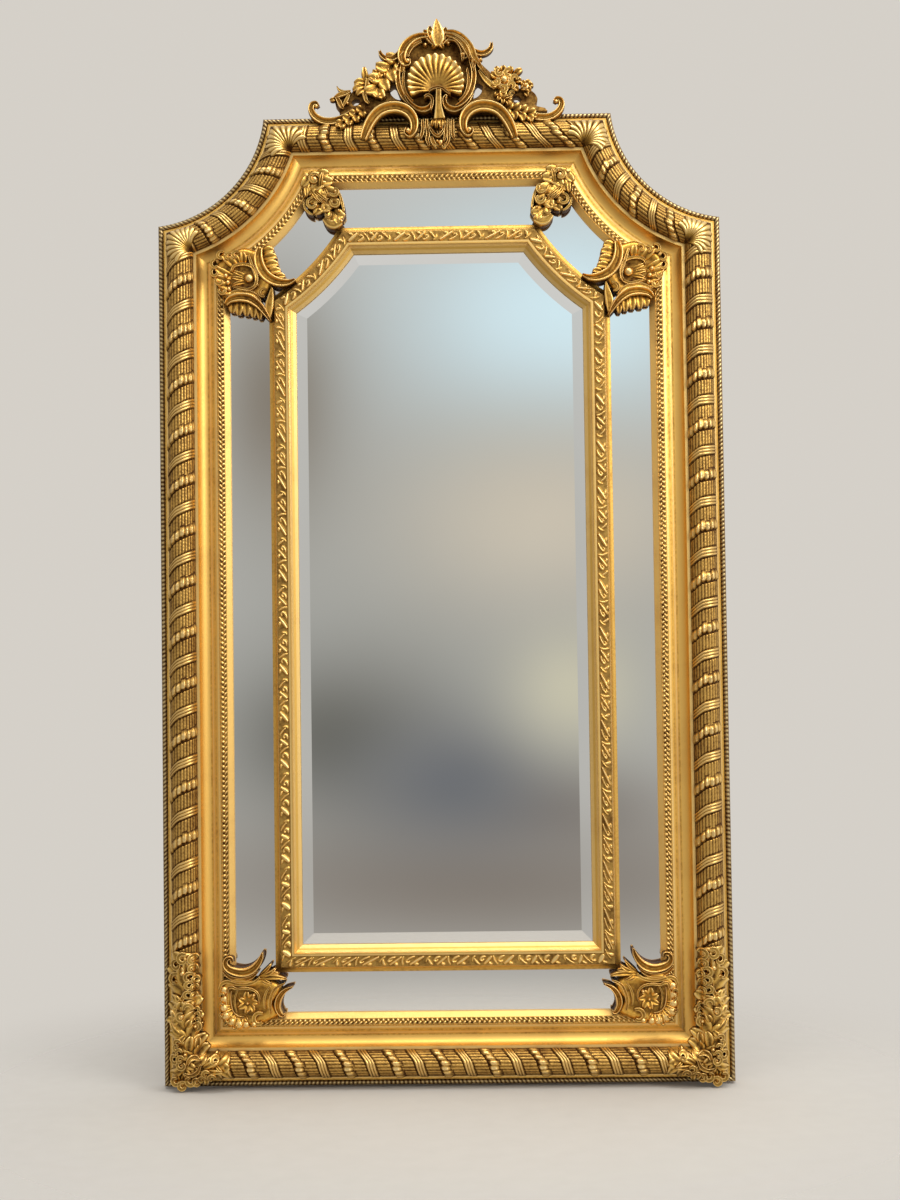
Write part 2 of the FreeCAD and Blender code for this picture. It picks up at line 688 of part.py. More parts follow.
def parclose_ornaments():
    """Cartouches at the bottom and shoulder joints, and leaf clusters at the top joints."""
    middle = (OUTER_SIGHT + INNER_EDGE) / 2
    corner = at(-HALF_WIDTH + middle, -HALF_HEIGHT + middle)
    nodes["left_bottom_cartouche"] = cartouche(corner, 90, 0)
    low = low_mitre(middle)
    radial = math.degrees(math.atan2(low.z - SHOULDER_Z, low.x - SHOULDER_X))
    nodes["left_shoulder_cartouche"] = cartouche(low, -90, radial + 90)
    root = high_mitre(BEAD_OUTER)
    tip = high_mitre(INNER_EDGE + TOP_LEAF_TIP)
    way = tip - root
    degrees = math.degrees(math.atan2(way.z, way.x))
    blade = leaf(root, degrees, way.Length, TOP_LEAF_WIDTH, TOP_LEAF_THICKNESS, ORNAMENT_SEAT)
    spot = high_mitre(middle)
    foot = Part.makeCylinder(
        TOP_LEAF_WIDTH / 4, ORNAMENT_SEAT + TOP_LEAF_THICKNESS / 2 - PARCLOSE_FRONT,
        spot + at(0, 0, PARCLOSE_FRONT), -DEPTH_AXIS,
    )
    nodes["left_top_leaf"] = single(blade.fuse(foot))
    for name in ("bottom_cartouche", "shoulder_cartouche", "top_leaf"):
        nodes["right_" + name] = mirrored(nodes["left_" + name])


# Crest: pierced board on the top rail with carved pieces on its face
BOARD_HALF_WIDTH = 205.0
BOARD_HEIGHT = 150.0
BOARD_FRONT = 44.0
BOARD_SHARES = (
    (-1.00, 0.12), (-0.95, 0.31), (-0.83, 0.34), (-0.73, 0.45), (-0.62, 0.58), (-0.49, 0.59),
    (-0.42, 0.65), (-0.38, 0.79), (-0.28, 0.92), (-0.15, 0.985), (0.00, 1.00),
)
PIERCE_RADIUS = 11.0
PIERCE_SHARES = ((0.42, 0.33), (0.76, 0.12))
RING_RISE = 66.0
RING_RADIUS = 70.0
RING_BAR = 8.0
RIM_ANGLES = (124.0, 232.0)
CREST_SHELL_RISE = 45.0
CREST_SHELL_ANGLES = (-14.0, 194.0)
CREST_SHELL_LOBES = 12
CREST_SHELL_HEIGHT = 31.0
CREST_SHELL_RIM = 12.0
CREST_GAP = 1.5
FINIAL_LENGTH = 59.0
FINIAL_WIDTH = 56.0
FINIAL_THICKNESS = 17.0
FINIAL_LIFT = 10.0
ARCH_X = 89.0
ARCH_DROP = 28.0
ARCH_RADIUS = 46.0
ARCH_BAND = 20.0
ARCH_VOLUTE = 15.0
ARCH_EYE = 11.5
ARCH_FRONT = 80.0
ARCH_START = 196.0
ARCH_CURL = 215.0
PENDANT_RISE = 36.0
PENDANT_SHOULDER = 4.0
PENDANT_LENGTH = 66.0
PENDANT_WIDTH = 60.0
PENDANT_THICKNESS = 14.0
PENDANT_STEM = 14.0
HORN_BAR = 7.5
HORN_START = 164.0
HORN_END = 226.0
HORN_CURL = 13.0
HORN_DROP = 2.0
FLOWER_RADIUS = 25.0
FLOWER_X = 116.0
FLOWER_RISE = 61.0
SMALL_FLOWER_RADIUS = 18.0
SMALL_FLOWER_X = 181.0
SMALL_FLOWER_RISE = 36.0
SPRIG_LENGTH = 46.0
SPRIG_WIDTH = 22.0
SPRIG_THICKNESS = 11.0
SPRIG_X = 76.0
SPRIG_RISE = 94.0
SPRIG_ANGLE = 148.0
CLEAR_DEPTH = TORUS_SEAT_DEPTH + TORUS_RADIUS * max(share for _, share in BUNDLE_SHARES) + SEAT_GAP


def crest_point(x, rise, depth=0):
    """Point measured from the middle of the top edge."""
    return at(x, HALF_HEIGHT + rise, depth)


def crest_board():
    """Flat pierced board with a shaped top."""
    points = [crest_point(x * BOARD_HALF_WIDTH, z * BOARD_HEIGHT) for x, z in BOARD_SHARES]
    curve = Part.BSplineCurve()
    curve.interpolate(points)
    left = curve.toShape()
    foot = crest_point(-BOARD_HALF_WIDTH, 0)
    edges = [line(foot, points[0]), left, mirrored(left), line(flip(points[0]), flip(foot)), line(flip(foot), foot)]
    board = prism(Part.Wire(Part.__sortEdges__(edges)), PANEL_THICKNESS, BOARD_FRONT)
    for x_share, z_share in PIERCE_SHARES:
        for side in (-1, 1):
            spot = crest_point(side * x_share * BOARD_HALF_WIDTH, z_share * BOARD_HEIGHT, BOARD_FRONT + CUT_OVERRUN)
            board = board.cut(Part.makeCylinder(PIERCE_RADIUS, BOARD_FRONT + CUT_OVERRUN, spot, DEPTH_AXIS))
    return board


def arc_edge(x, rise, depth, radius, degrees_from, degrees_to):
    """Circular arc about a point of the crest, parallel to the wall."""
    ends = []
    for share in (0, 0.5, 1):
        angle = math.radians(degrees_from + (degrees_to - degrees_from) * share)
        ends.append(crest_point(x + radius * math.cos(angle), rise + radius * math.sin(angle), depth))
    return Part.Arc(*ends).toShape()


def crest_rim():
    """Left half of the ring round the shell, with a knob at its upper end."""
    depth = BOARD_FRONT + RING_BAR / 2
    path = arc_edge(0, RING_RISE, depth, RING_RADIUS, *RIM_ANGLES)
    angle = math.radians(RIM_ANGLES[0])
    knob = Part.makeSphere(
        RING_BAR * BALL_SWELL,
        crest_point(RING_RADIUS * math.cos(angle), RING_RISE + RING_RADIUS * math.sin(angle), depth),
    )
    return single(in_front(rod([path], RING_BAR).fuse(knob), BOARD_FRONT))


def crest_shell():
    """Fluted shell inside the ring."""
    root = crest_point(0, CREST_SHELL_RISE)
    limit = RING_RADIUS - RING_BAR * BALL_SWELL - CREST_GAP
    drop = RING_RISE - CREST_SHELL_RISE

    def reach_of(angle):
        along = drop * math.sin(angle)
        return along + math.sqrt(limit ** 2 - drop ** 2 + along ** 2)

    return fan(
        root, CREST_SHELL_ANGLES, CREST_SHELL_LOBES, reach_of,
        BOARD_FRONT, CREST_SHELL_HEIGHT, SHELL_FLUTE, CREST_SHELL_RIM,
    )


def below_top(width):
    """Block that keeps the strip and rope on the top rail clear of the crest's lower pieces."""
    height = TORUS_INNER + CUT_OVERRUN
    corner = crest_point(-width, -height, CLEAR_DEPTH)
    return Part.makeBox(2 * width, CLEAR_DEPTH + CUT_OVERRUN, height + SEAT_GAP, corner)


def arch_band(half, bulge):
    """Flat band of the left base scroll: a broad arch that winds into a volute."""
    outer = ARCH_RADIUS + half
    inner = ARCH_RADIUS - half
    eye_x = -ARCH_X + ARCH_RADIUS - ARCH_VOLUTE
    edges = [
        arc_edge(-ARCH_X, -ARCH_DROP, 0, outer, ARCH_START, 0),
        arc_edge(eye_x, -ARCH_DROP, 0, ARCH_VOLUTE + half, 0, -ARCH_CURL),
        arc_edge(eye_x, -ARCH_DROP, 0, ARCH_VOLUTE - half, -ARCH_CURL, 0),
        arc_edge(-ARCH_X, -ARCH_DROP, 0, inner, 0, ARCH_START),
    ]
    start = math.radians(ARCH_START)
    curl = math.radians(-ARCH_CURL)
    caps = []
    for x, radius, angle in ((-ARCH_X, ARCH_RADIUS, start), (eye_x, ARCH_VOLUTE, curl)):
        ends = [
            crest_point(x + size * math.cos(angle), -ARCH_DROP + size * math.sin(angle))
            for size in (radius - half, radius + half)
        ]
        caps.append(line(*ends))
    wire = Part.Wire(Part.__sortEdges__(edges + caps))
    return prism(wire, BOARD_FRONT, ARCH_FRONT - bulge)


def crest_arch():
    """Left base scroll, stepped from its edges to a raised middle."""
    band = arch_band(ARCH_BAND / 2, ARCH_BAND / 4)
    ridge = arch_band(ARCH_BAND / 4, 0)
    eye_x = -ARCH_X + ARCH_RADIUS - ARCH_VOLUTE
    eye = Part.makeSphere(ARCH_EYE, crest_point(eye_x, -ARCH_DROP, ARCH_FRONT - ARCH_BAND / 4))
    solid = band.fuse(ridge).fuse(eye)
    return single(solid.cut(below_top(BOARD_HALF_WIDTH)))


def crest_pendant():
    """Stem on the board that drops into a leaf over the top rail."""
    stem = Part.makeBox(
        PENDANT_STEM, CLEAR_DEPTH + PENDANT_THICKNESS - BOARD_FRONT, PENDANT_RISE - PENDANT_SHOULDER,
        crest_point(-PENDANT_STEM / 2, PENDANT_SHOULDER - SHELL_FLUTE, CLEAR_DEPTH + PENDANT_THICKNESS),
    )
    stem = stem.makeFillet(PENDANT_STEM / 4, [edge for edge in stem.Edges if edge.BoundBox.ZLength > PENDANT_STEM])
    blade = leaf(
        crest_point(0, PENDANT_SHOULDER), -90, PENDANT_LENGTH, PENDANT_WIDTH, PENDANT_THICKNESS, CLEAR_DEPTH)
    return single(stem.fuse(blade))


def crest_horn():
    """Left horn along the top edge, curling up at its end."""
    depth = ROPE_SEAT_DEPTH + ROPE_CROWN + HORN_BAR
    start = crest_point(-HORN_START, -HORN_DROP, depth)
    end = crest_point(-HORN_END, -HORN_DROP, depth)
    curl = arc_edge(-HORN_END, HORN_CURL - HORN_DROP, depth, HORN_CURL, 270, 45)
    tip = crest_point(
        -HORN_END + HORN_CURL * math.cos(math.radians(45)),
        HORN_CURL - HORN_DROP + HORN_CURL * math.sin(math.radians(45)), depth,
    )
    solid = rod([line(start, end), curl], HORN_BAR).fuse(Part.makeSphere(HORN_BAR * BALL_SWELL, tip))
    return single(in_front(solid, ROPE_SEAT_DEPTH + ROPE_CROWN + SEAT_GAP))


def crest_flowers():
    """Left flowers and the sprig above them."""
    big = rosette(-FLOWER_X, HALF_HEIGHT + FLOWER_RISE, FLOWER_RADIUS, BOARD_FRONT)
    small = rosette(-SMALL_FLOWER_X, HALF_HEIGHT + SMALL_FLOWER_RISE, SMALL_FLOWER_RADIUS, BOARD_FRONT)
    sprig = leaf(
        crest_point(-SPRIG_X, SPRIG_RISE), SPRIG_ANGLE, SPRIG_LENGTH, SPRIG_WIDTH, SPRIG_THICKNESS, BOARD_FRONT, SPRIG_THICKNESS)
    return Part.makeCompound([single(big), single(small), sprig])


def crest():
    """All pieces of the crest."""
    board = crest_board()
    rim = crest_rim()
    shell = crest_shell()
    nodes["crest_shell"] = shell
    nodes["crest_finial"] = leaf(
        crest_point(0, RING_RISE + RING_RADIUS - RING_BAR), 90,
        FINIAL_LENGTH, FINIAL_WIDTH, FINIAL_THICKNESS, BOARD_FRONT, FINIAL_LIFT)
    pendant = crest_pendant().cut(shell)
    arch = crest_arch().cut(rim).cut(pendant)
    flowers = crest_flowers().cut(rim)
    horn = crest_horn().cut(board)
    nodes["crest_pendant"] = single(pendant)
    for name, shape in (("rim", rim), ("arch", arch), ("flowers", flowers), ("horn", horn)):
        nodes["left_crest_" + name] = single(shape)
        nodes["right_crest_" + name] = mirrored(nodes["left_crest_" + name])
    return board


# Back: battens, screws, dowels and the ring hangers
BATTEN_INSET = 3.0
DOWEL_RADIUS = 3.5
DOWEL_LENGTH = 44.0
DOWEL_SHARES = (-0.75, -0.3, 0.3, 0.75)
SCREW_LENGTH = 22.0
SCREW_RADIUS = 2.0
SCREW_HEAD_RADIUS = 4.0
SCREW_HEAD_DEPTH = 2.4
STILE_SCREW_SHARES = (0.08, 0.30, 0.52, 0.74, 0.92)
RAIL_SCREW_SHARES = (-0.5, 0, 0.5)
HANGER_DROP = 200.0
HANGER_RISE = HALF_HEIGHT - SHOULDER_NOTCH - HANGER_DROP
HANGER_GAP_ABOVE = 40.0
HANGER_GAP_BELOW = 85.0
STRAP_WIDTH = 20.0
STRAP_LENGTH = 68.0
STRAP_THICKNESS = 2.0
WIRE_RADIUS = 2.5
BARREL_CLEARANCE = 0.05
RING_HALF_WIDTH = 14.5
RING_CORNER = 4.0
RING_SIDE = 8.0
HANGER_SCREW_SHARES = (0.52, 0.82)


def countersunk_screw(spot):
    """Screw driven forwards from the back face at a point on the wall plane."""
    head = Part.makeCone(SCREW_HEAD_RADIUS, SCREW_RADIUS, SCREW_HEAD_DEPTH, spot, -DEPTH_AXIS)
    return head.fuse(Part.makeCylinder(SCREW_RADIUS, SCREW_LENGTH, spot, -DEPTH_AXIS)).removeSplitter()


def screw_spots(offset):
    """Places of the panel's screws along all six members at one offset."""
    low = low_mitre(offset).z
    bottom = -HALF_HEIGHT + offset
    spots = [at(-HALF_WIDTH + offset, bottom + (low - bottom) * share) for share in STILE_SCREW_SHARES]
    diagonal = (SHOULDER_RADIUS + offset) / math.sqrt(2)
    spots.append(at(SHOULDER_X + diagonal, SHOULDER_Z - diagonal))
    spots = spots + [flip(spot) for spot in spots]
    spots += [at(share * (HALF_WIDTH - offset), bottom) for share in RAIL_SCREW_SHARES]
    spots += [at(share * -high_mitre(offset).x, HALF_HEIGHT - offset) for share in RAIL_SCREW_SHARES]
    return spots


def hanger_place():
    """Axis of the left hanger's ring."""
    depth = PANEL_THICKNESS - WIRE_RADIUS - BARREL_CLEARANCE - STRAP_THICKNESS
    return at(-HALF_WIDTH + PANEL_EDGE / 2, HANGER_RISE, depth)


def hanger_strap():
    """Strap of the left hanger, folded into a barrel round the ring's bar."""
    axis = hanger_place()
    bore = WIRE_RADIUS + BARREL_CLEARANCE
    corner = axis + FreeCAD.Vector(-STRAP_WIDTH / 2, bore, -STRAP_LENGTH)
    plate = Part.makeBox(STRAP_WIDTH, STRAP_THICKNESS, STRAP_LENGTH, corner)
    plate.translate(FreeCAD.Vector(0, -2 * bore - STRAP_THICKNESS, 0))
    start = axis - SIDE_AXIS * (STRAP_WIDTH / 2)
    barrel = Part.makeCylinder(bore + STRAP_THICKNESS, STRAP_WIDTH, start, SIDE_AXIS)
    strap = plate.fuse(barrel).cut(Part.makeCylinder(bore, STRAP_WIDTH, start, SIDE_AXIS))
    return strap.removeSplitter()


def hanger_screw_spots():
    """Where the left hanger's screws enter its strap."""
    axis = hanger_place()
    depth = PANEL_THICKNESS - STRAP_THICKNESS
    return [at(axis.x, axis.z - share * STRAP_LENGTH, depth) for share in HANGER_SCREW_SHARES]


def hanger_ring():
    """Left ring: a straight bar in the barrel and a round bow that hangs below it."""
    axis = hanger_place()
    half = RING_HALF_WIDTH
    low = RING_SIDE
    inner = half - RING_CORNER

    def spot(x, z):
        return axis + FreeCAD.Vector(x, 0, z)

    slant = RING_CORNER * (1 - 1 / math.sqrt(2))
    path = [
        line(spot(0, 0), spot(inner, 0)),
        Part.Arc(spot(inner, 0), spot(half - slant, -slant), spot(half, -RING_CORNER)).toShape(),
        line(spot(half, -RING_CORNER), spot(half, -low)),
        Part.Arc(spot(half, -low), spot(0, -low - half), spot(-half, -low)).toShape(),
        line(spot(-half, -low), spot(-half, -RING_CORNER)),
        Part.Arc(spot(-half, -RING_CORNER), spot(slant - half, -slant), spot(-inner, 0)).toShape(),
        line(spot(-inner, 0), spot(0, 0)),
    ]
    return rod(path, WIRE_RADIUS)


def back(board):
    """Battens round the panel, screws, dowels and both hangers, with the holes that they need."""
    battens = run_all(flat_profile(BATTEN_INSET, PANEL_EDGE, 0, PANEL_THICKNESS))
    gap = Part.makeBox(
        PANEL_EDGE + CUT_OVERRUN, PANEL_THICKNESS + CUT_OVERRUN, HANGER_GAP_ABOVE + HANGER_GAP_BELOW,
        FreeCAD.Vector(-HALF_WIDTH - CUT_OVERRUN / 2, -PANEL_THICKNESS - CUT_OVERRUN / 2, HANGER_RISE - HANGER_GAP_BELOW),
    )
    battens["left"] = battens["left"].cut(gap)
    battens["right"] = mirrored(battens["left"])
    nodes["back_battens"] = Part.makeCompound([solid for shape in battens.values() for solid in shape.Solids])

    spots = screw_spots(PANEL_EDGE + PANEL_LAP / 2) + screw_spots((FOLIAGE_OUTER + FOLIAGE_INNER) / 2)
    for spot in hanger_screw_spots():
        spots += [spot, flip(spot)]
    screws = Part.makeCompound([countersunk_screw(spot) for spot in spots])
    nodes["screws"] = screws
    nodes["back_panel"] = nodes["back_panel"].cut(screws)

    strap = single(hanger_strap().cut(screws))
    nodes["left_hanger_strap"] = strap
    nodes["right_hanger_strap"] = mirrored(strap)
    nodes["left_hanger_ring"] = hanger_ring()
    nodes["right_hanger_ring"] = mirrored(nodes["left_hanger_ring"])

    dowel_depth = (PANEL_THICKNESS + ROPE_SEAT_DEPTH) / 2
    dowels = []
    for share in DOWEL_SHARES:
        spot = crest_point(share * BOARD_HALF_WIDTH, -DOWEL_LENGTH / 2, dowel_depth)
        dowels.append(Part.makeCylinder(DOWEL_RADIUS, DOWEL_LENGTH, spot, FreeCAD.Vector(0, 0, 1)))
    nodes["crest_dowels"] = Part.makeCompound(dowels)
    nodes["crest_board"] = board.cut(nodes["crest_dowels"])
    nodes["top_rail"] = nodes["top_rail"].cut(nodes["crest_dowels"])

    for name, shape in list(nodes.items()):
        inner = name.startswith("inner_") and name != "inner_foliage"
        if inner or name.endswith(("_rail", "_stile")):
            nodes[name] = single(shape.cut(screws))


outer_frame()
torus_layer()
mirrors()
inner_frame()
parclose_ornaments()
back(crest())
os.makedirs("parts", exist_ok=True)
for node_name, node_shape in nodes.items():
    node_shape.exportStep("parts/" + node_name + ".step")
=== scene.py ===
import math

import bmesh
import bpy
from mathutils import Matrix, Vector


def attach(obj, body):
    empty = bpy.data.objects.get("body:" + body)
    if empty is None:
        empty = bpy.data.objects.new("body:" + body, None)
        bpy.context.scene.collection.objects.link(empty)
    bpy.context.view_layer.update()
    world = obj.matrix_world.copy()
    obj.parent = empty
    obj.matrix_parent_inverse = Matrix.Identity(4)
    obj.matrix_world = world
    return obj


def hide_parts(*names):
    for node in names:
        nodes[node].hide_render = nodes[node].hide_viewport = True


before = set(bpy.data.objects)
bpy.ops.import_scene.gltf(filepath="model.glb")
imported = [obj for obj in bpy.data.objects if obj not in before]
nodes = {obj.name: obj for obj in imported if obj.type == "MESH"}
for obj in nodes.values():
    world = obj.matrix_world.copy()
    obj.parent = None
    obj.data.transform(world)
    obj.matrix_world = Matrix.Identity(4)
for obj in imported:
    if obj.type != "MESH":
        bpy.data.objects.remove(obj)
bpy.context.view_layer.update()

# Viewpoint: the mirror is seen square on from 3.4 m, a little below its middle, with the lens
# tipped up by two degrees. The image is 900 x 1200 points, and each covers 1.93 mm of the mirror.
PICTURE = {"wide": 900, "tall": 1200, "focal": 1766.9, "point": 0.00193}
EYE = (0.0726, -3.4, -0.1268)
EYE_TURNS = {"aside": 1.007, "up": 2.005, "tilt": 0.774, "level": 90}
eye = bpy.data.cameras.new("viewpoint")
eye.sensor_fit = "HORIZONTAL"
eye.sensor_width = 36.0
eye.lens = PICTURE["focal"] * eye.sensor_width / PICTURE["wide"]
viewpoint = bpy.data.objects.new("viewpoint", eye)
turned = {name: math.radians(angle) for name, angle in EYE_TURNS.items()}
aim = Matrix.Rotation(turned["aside"], 4, "Z") @ Matrix.Rotation(turned["up"], 4, "X")
tilt = Matrix.Rotation(turned["tilt"], 4, "Y") @ Matrix.Rotation(turned["level"], 4, "X")
SIGHT = Matrix.Translation(EYE) @ aim @ tilt
viewpoint.matrix_world = SIGHT
bpy.context.scene.collection.objects.link(viewpoint)
bpy.context.scene.camera = viewpoint


# Outer frame: six mitred lengths of limewood moulding, gessoed and water gilded over red clay.
# The flat and hollow members are burnished, with painted highlights along the fillets, and a
# brown wash with painted shade lies in the quirks between them.
OUTLINE = {"half_width": 0.540, "half_height": 0.925, "arc_x": 0.568403, "arc_z": 0.953403, "arc_r": 0.235125}
LEAF_GOLD = (0.83, 0.50, 0.115, 1)
# Ochre wash for the hollows, which also stands for the shade in them: painted shade.
OCHRE_WASH_AND_SHADE = (0.23, 0.115, 0.025, 1)
RED_CLAY = (0.36, 0.105, 0.025, 1)
# Painted highlight: a paler gold blended onto the highest ridges and fillets.
RIDGE_HIGHLIGHT_GOLD = (0.98, 0.73, 0.33, 1)
BARE_LIME = (0.46, 0.31, 0.17, 1)


def put(tree, kind, sockets=None, **settings):
    """A node with its settings, its inputs filled or linked."""
    node = tree.nodes.new(kind)
    for key, value in settings.items():
        setattr(node, key, value)
    for key, value in (sockets or {}).items():
        if isinstance(value, bpy.types.NodeSocket):
            tree.links.new(value, node.inputs[key])
        else:
            node.inputs[key].default_value = value
    return node


def sum_of(tree, operation, first, second=0.0, clamped=False):
    """Output of one arithmetic node."""
    node = put(tree, "ShaderNodeMath", {0: first, 1: second}, operation=operation, use_clamp=clamped)
    return node.outputs[0]


def blended(tree, share, first, second, mode="MIX"):
    """Colour between two colours."""
    node = put(tree, "ShaderNodeMix", {0: share, 6: first, 7: second}, data_type="RGBA", blend_type=mode)
    return node.outputs[2]


def ramp(tree, value, stops):
    """Grey level that follows a list of places and levels."""
    node = put(tree, "ShaderNodeValToRGB", {0: value})
    points = node.color_ramp.elements
    while len(points) < len(stops):
        points.new(1.0)
    for point, (place, level) in zip(points, stops):
        point.position = place
        point.color = (level, level, level, 1)
    return node.outputs[0]


def new_group(name, wanted, given):
    """Shader node group with named inputs and outputs, and its two end nodes."""
    group = bpy.data.node_groups.new(name, "ShaderNodeTree")
    for label, kind in wanted:
        group.interface.new_socket(label, in_out="INPUT", socket_type=kind)
    for label, kind in given:
        group.interface.new_socket(label, in_out="OUTPUT", socket_type=kind)
    return group, group.nodes.new("NodeGroupInput"), group.nodes.new("NodeGroupOutput")


def make_frame_inset():
    """How far a point lies inside the outer edge of the frame, by its place alone."""
    group, _, end = new_group("frame_inset", [], [("Inset", "NodeSocketFloat")])
    place = put(group, "ShaderNodeTexCoord").outputs["Object"]
    parts = put(group, "ShaderNodeSeparateXYZ", {0: place}).outputs
    across = sum_of(group, "ABSOLUTE", parts[0])
    from_side = sum_of(group, "SUBTRACT", OUTLINE["half_width"], across)
    from_end = sum_of(group, "SUBTRACT", OUTLINE["half_height"], sum_of(group, "ABSOLUTE", parts[2]))
    near = put(group, "ShaderNodeCombineXYZ", {0: across, 2: parts[2]}).outputs[0]
    centre = (OUTLINE["arc_x"], 0, OUTLINE["arc_z"])
    reach = put(group, "ShaderNodeVectorMath", {0: near, 1: centre}, operation="DISTANCE").outputs["Value"]
    from_arc = sum_of(group, "SUBTRACT", reach, OUTLINE["arc_r"])
    nearest = sum_of(group, "MINIMUM", sum_of(group, "MINIMUM", from_side, from_end), from_arc)
    group.links.new(nearest, end.inputs["Inset"])
    return group


def make_worn_leaf():
    """Gold leaf: a brown toner with painted shade in the hollows, a painted highlight of paler gold on the
    ridges, rubbed through to the clay there, with specks and fine cracks.
    """
    wanted = [
        ("Relief", "NodeSocketFloat"), ("Leaf", "NodeSocketColor"), ("Wash And Shade", "NodeSocketColor"),
        ("Toning And Shade", "NodeSocketFloat"), ("Rubbing", "NodeSocketFloat"), ("Ridge Highlight", "NodeSocketFloat"),
    ]
    given = [
        ("Color", "NodeSocketColor"), ("Roughness", "NodeSocketFloat"),
        ("Metallic", "NodeSocketFloat"), ("Height", "NodeSocketFloat"),
    ]
    group, start, end = new_group("worn_leaf", wanted, given)
    place = put(group, "ShaderNodeTexCoord").outputs["Object"]
    broad = put(group, "ShaderNodeTexNoise", {"Vector": place, "Scale": 16.0, "Detail": 4.0}).outputs[0]
    fine = put(group, "ShaderNodeTexNoise", {"Vector": place, "Scale": 150.0, "Detail": 3.0}).outputs[0]
    grit = put(group, "ShaderNodeTexNoise", {"Vector": place, "Scale": 950.0, "Detail": 2.0}).outputs[0]
    dots = put(group, "ShaderNodeTexVoronoi", {"Vector": place, "Scale": 210.0, "Randomness": 1.0}).outputs[0]
    # The lower the relief, the more brown wash with painted shade.
    hollow = sum_of(group, "SUBTRACT", 1.0, start.outputs["Relief"])
    mottle = sum_of(group, "ADD", sum_of(group, "MULTIPLY", fine, 0.55),
                    sum_of(group, "MULTIPLY", broad, 0.45))
    depth = sum_of(group, "ADD", hollow, sum_of(group, "SUBTRACT", mottle, 0.5))
    shown = sum_of(group, "SUBTRACT", depth, sum_of(group, "SUBTRACT", 1.0, start.outputs["Toning And Shade"]))
    wash_and_shade = sum_of(group, "MULTIPLY", shown, 1.9, True)
    speck = sum_of(group, "LESS_THAN", dots, sum_of(group, "MULTIPLY", broad, 0.16))
    wash_shade_and_specks = sum_of(group, "ADD", wash_and_shade, sum_of(group, "MULTIPLY", speck, 0.45), True)
    # Painted highlight: the highest relief is blended towards a paler gold.
    ridge = sum_of(group, "SUBTRACT", start.outputs["Relief"], 0.55, True)
    ridge = sum_of(group, "MULTIPLY", ridge, 2.2, True)
    ridge = sum_of(group, "MULTIPLY", ridge, start.outputs["Ridge Highlight"])
    highlighted_leaf = blended(group, ridge, start.outputs["Leaf"], RIDGE_HIGHLIGHT_GOLD)
    tint = blended(group, wash_shade_and_specks, highlighted_leaf, start.outputs["Wash And Shade"])
    bare = sum_of(group, "MULTIPLY", sum_of(group, "SUBTRACT", broad, 0.52, True), start.outputs["Rubbing"])
    bare = sum_of(group, "MULTIPLY", bare, start.outputs["Relief"], True)
    group.links.new(blended(group, bare, tint, RED_CLAY), end.inputs["Color"])
    sheen = sum_of(group, "ADD", sum_of(group, "MULTIPLY", wash_shade_and_specks, 0.30), sum_of(group, "MULTIPLY", fine, 0.16))
    group.links.new(sum_of(group, "ADD", sheen, 0.24), end.inputs["Roughness"])
    metal = sum_of(group, "SUBTRACT", 1.0, sum_of(group, "MULTIPLY", wash_shade_and_specks, 0.30))
    group.links.new(metal, end.inputs["Metallic"])
    bumps = sum_of(group, "ADD", sum_of(group, "MULTIPLY", fine, 0.7), sum_of(group, "MULTIPLY", grit, 0.22))
    bumps = sum_of(group, "SUBTRACT", bumps, sum_of(group, "MULTIPLY", speck, 0.2))
    group.links.new(bumps, end.inputs["Height"])
    return group


frame_inset = make_frame_inset()
worn_leaf = make_worn_leaf()


def gilding(name, leaf, wash_and_shade, toning_and_shade, rubbing, levels=None, bump=0.25):
    """Gilded finish whose brown hollows with painted shade, and painted highlights on its ridges, come from
    the carving's relief, or from a section's levels.
    """
    material = bpy.data.materials.new(name)
    material.use_nodes = True
    tree = material.node_tree
    shader = tree.nodes["Principled BSDF"]
    if levels:
        inset = put(tree, "ShaderNodeGroup", node_tree=frame_inset).outputs["Inset"]
        share = sum_of(tree, "DIVIDE", inset, levels[-1][0], True)
        relief = ramp(tree, share, [(place / levels[-1][0], level) for place, level in levels])
    else:
        relief = put(tree, "ShaderNodeAttribute", attribute_name="relief").outputs["Fac"]
    sockets = {"Relief": relief, "Leaf": leaf, "Wash And Shade": wash_and_shade, "Toning And Shade": toning_and_shade, "Rubbing": rubbing,
               "Ridge Highlight": 0.60 if levels else 0.75}
    worn = put(tree, "ShaderNodeGroup", sockets, node_tree=worn_leaf)
    tint = worn.outputs["Color"]
    metal = worn.outputs["Metallic"]
    if levels:
        facing = put(tree, "ShaderNodeSeparateXYZ", {0: put(tree, "ShaderNodeNewGeometry").outputs["Normal"]})
        behind = sum_of(tree, "GREATER_THAN", facing.outputs[1], 0.6)
        tint = blended(tree, behind, tint, BARE_LIME)
        metal = sum_of(tree, "SUBTRACT", metal, behind, True)
    tree.links.new(tint, shader.inputs["Base Color"])
    shader.inputs["Specular IOR Level"].default_value = 0.25
    rough = sum_of(tree, "ADD", worn.outputs["Roughness"], 0.14 if levels else 0.0)
    tree.links.new(rough, shader.inputs["Roughness"])
    tree.links.new(metal, shader.inputs["Metallic"])
    height = put(tree, "ShaderNodeBump", {"Strength": bump, "Distance": 0.0012,
                                          "Height": worn.outputs["Height"]})
    tree.links.new(height.outputs[0], shader.inputs["Normal"])
    return material


def finish_nodes(names, material):
    """The same finish on a set of solids that keep their shape."""
    for name in names:
        nodes[name].data.materials.clear()
        nodes[name].data.materials.append(material)


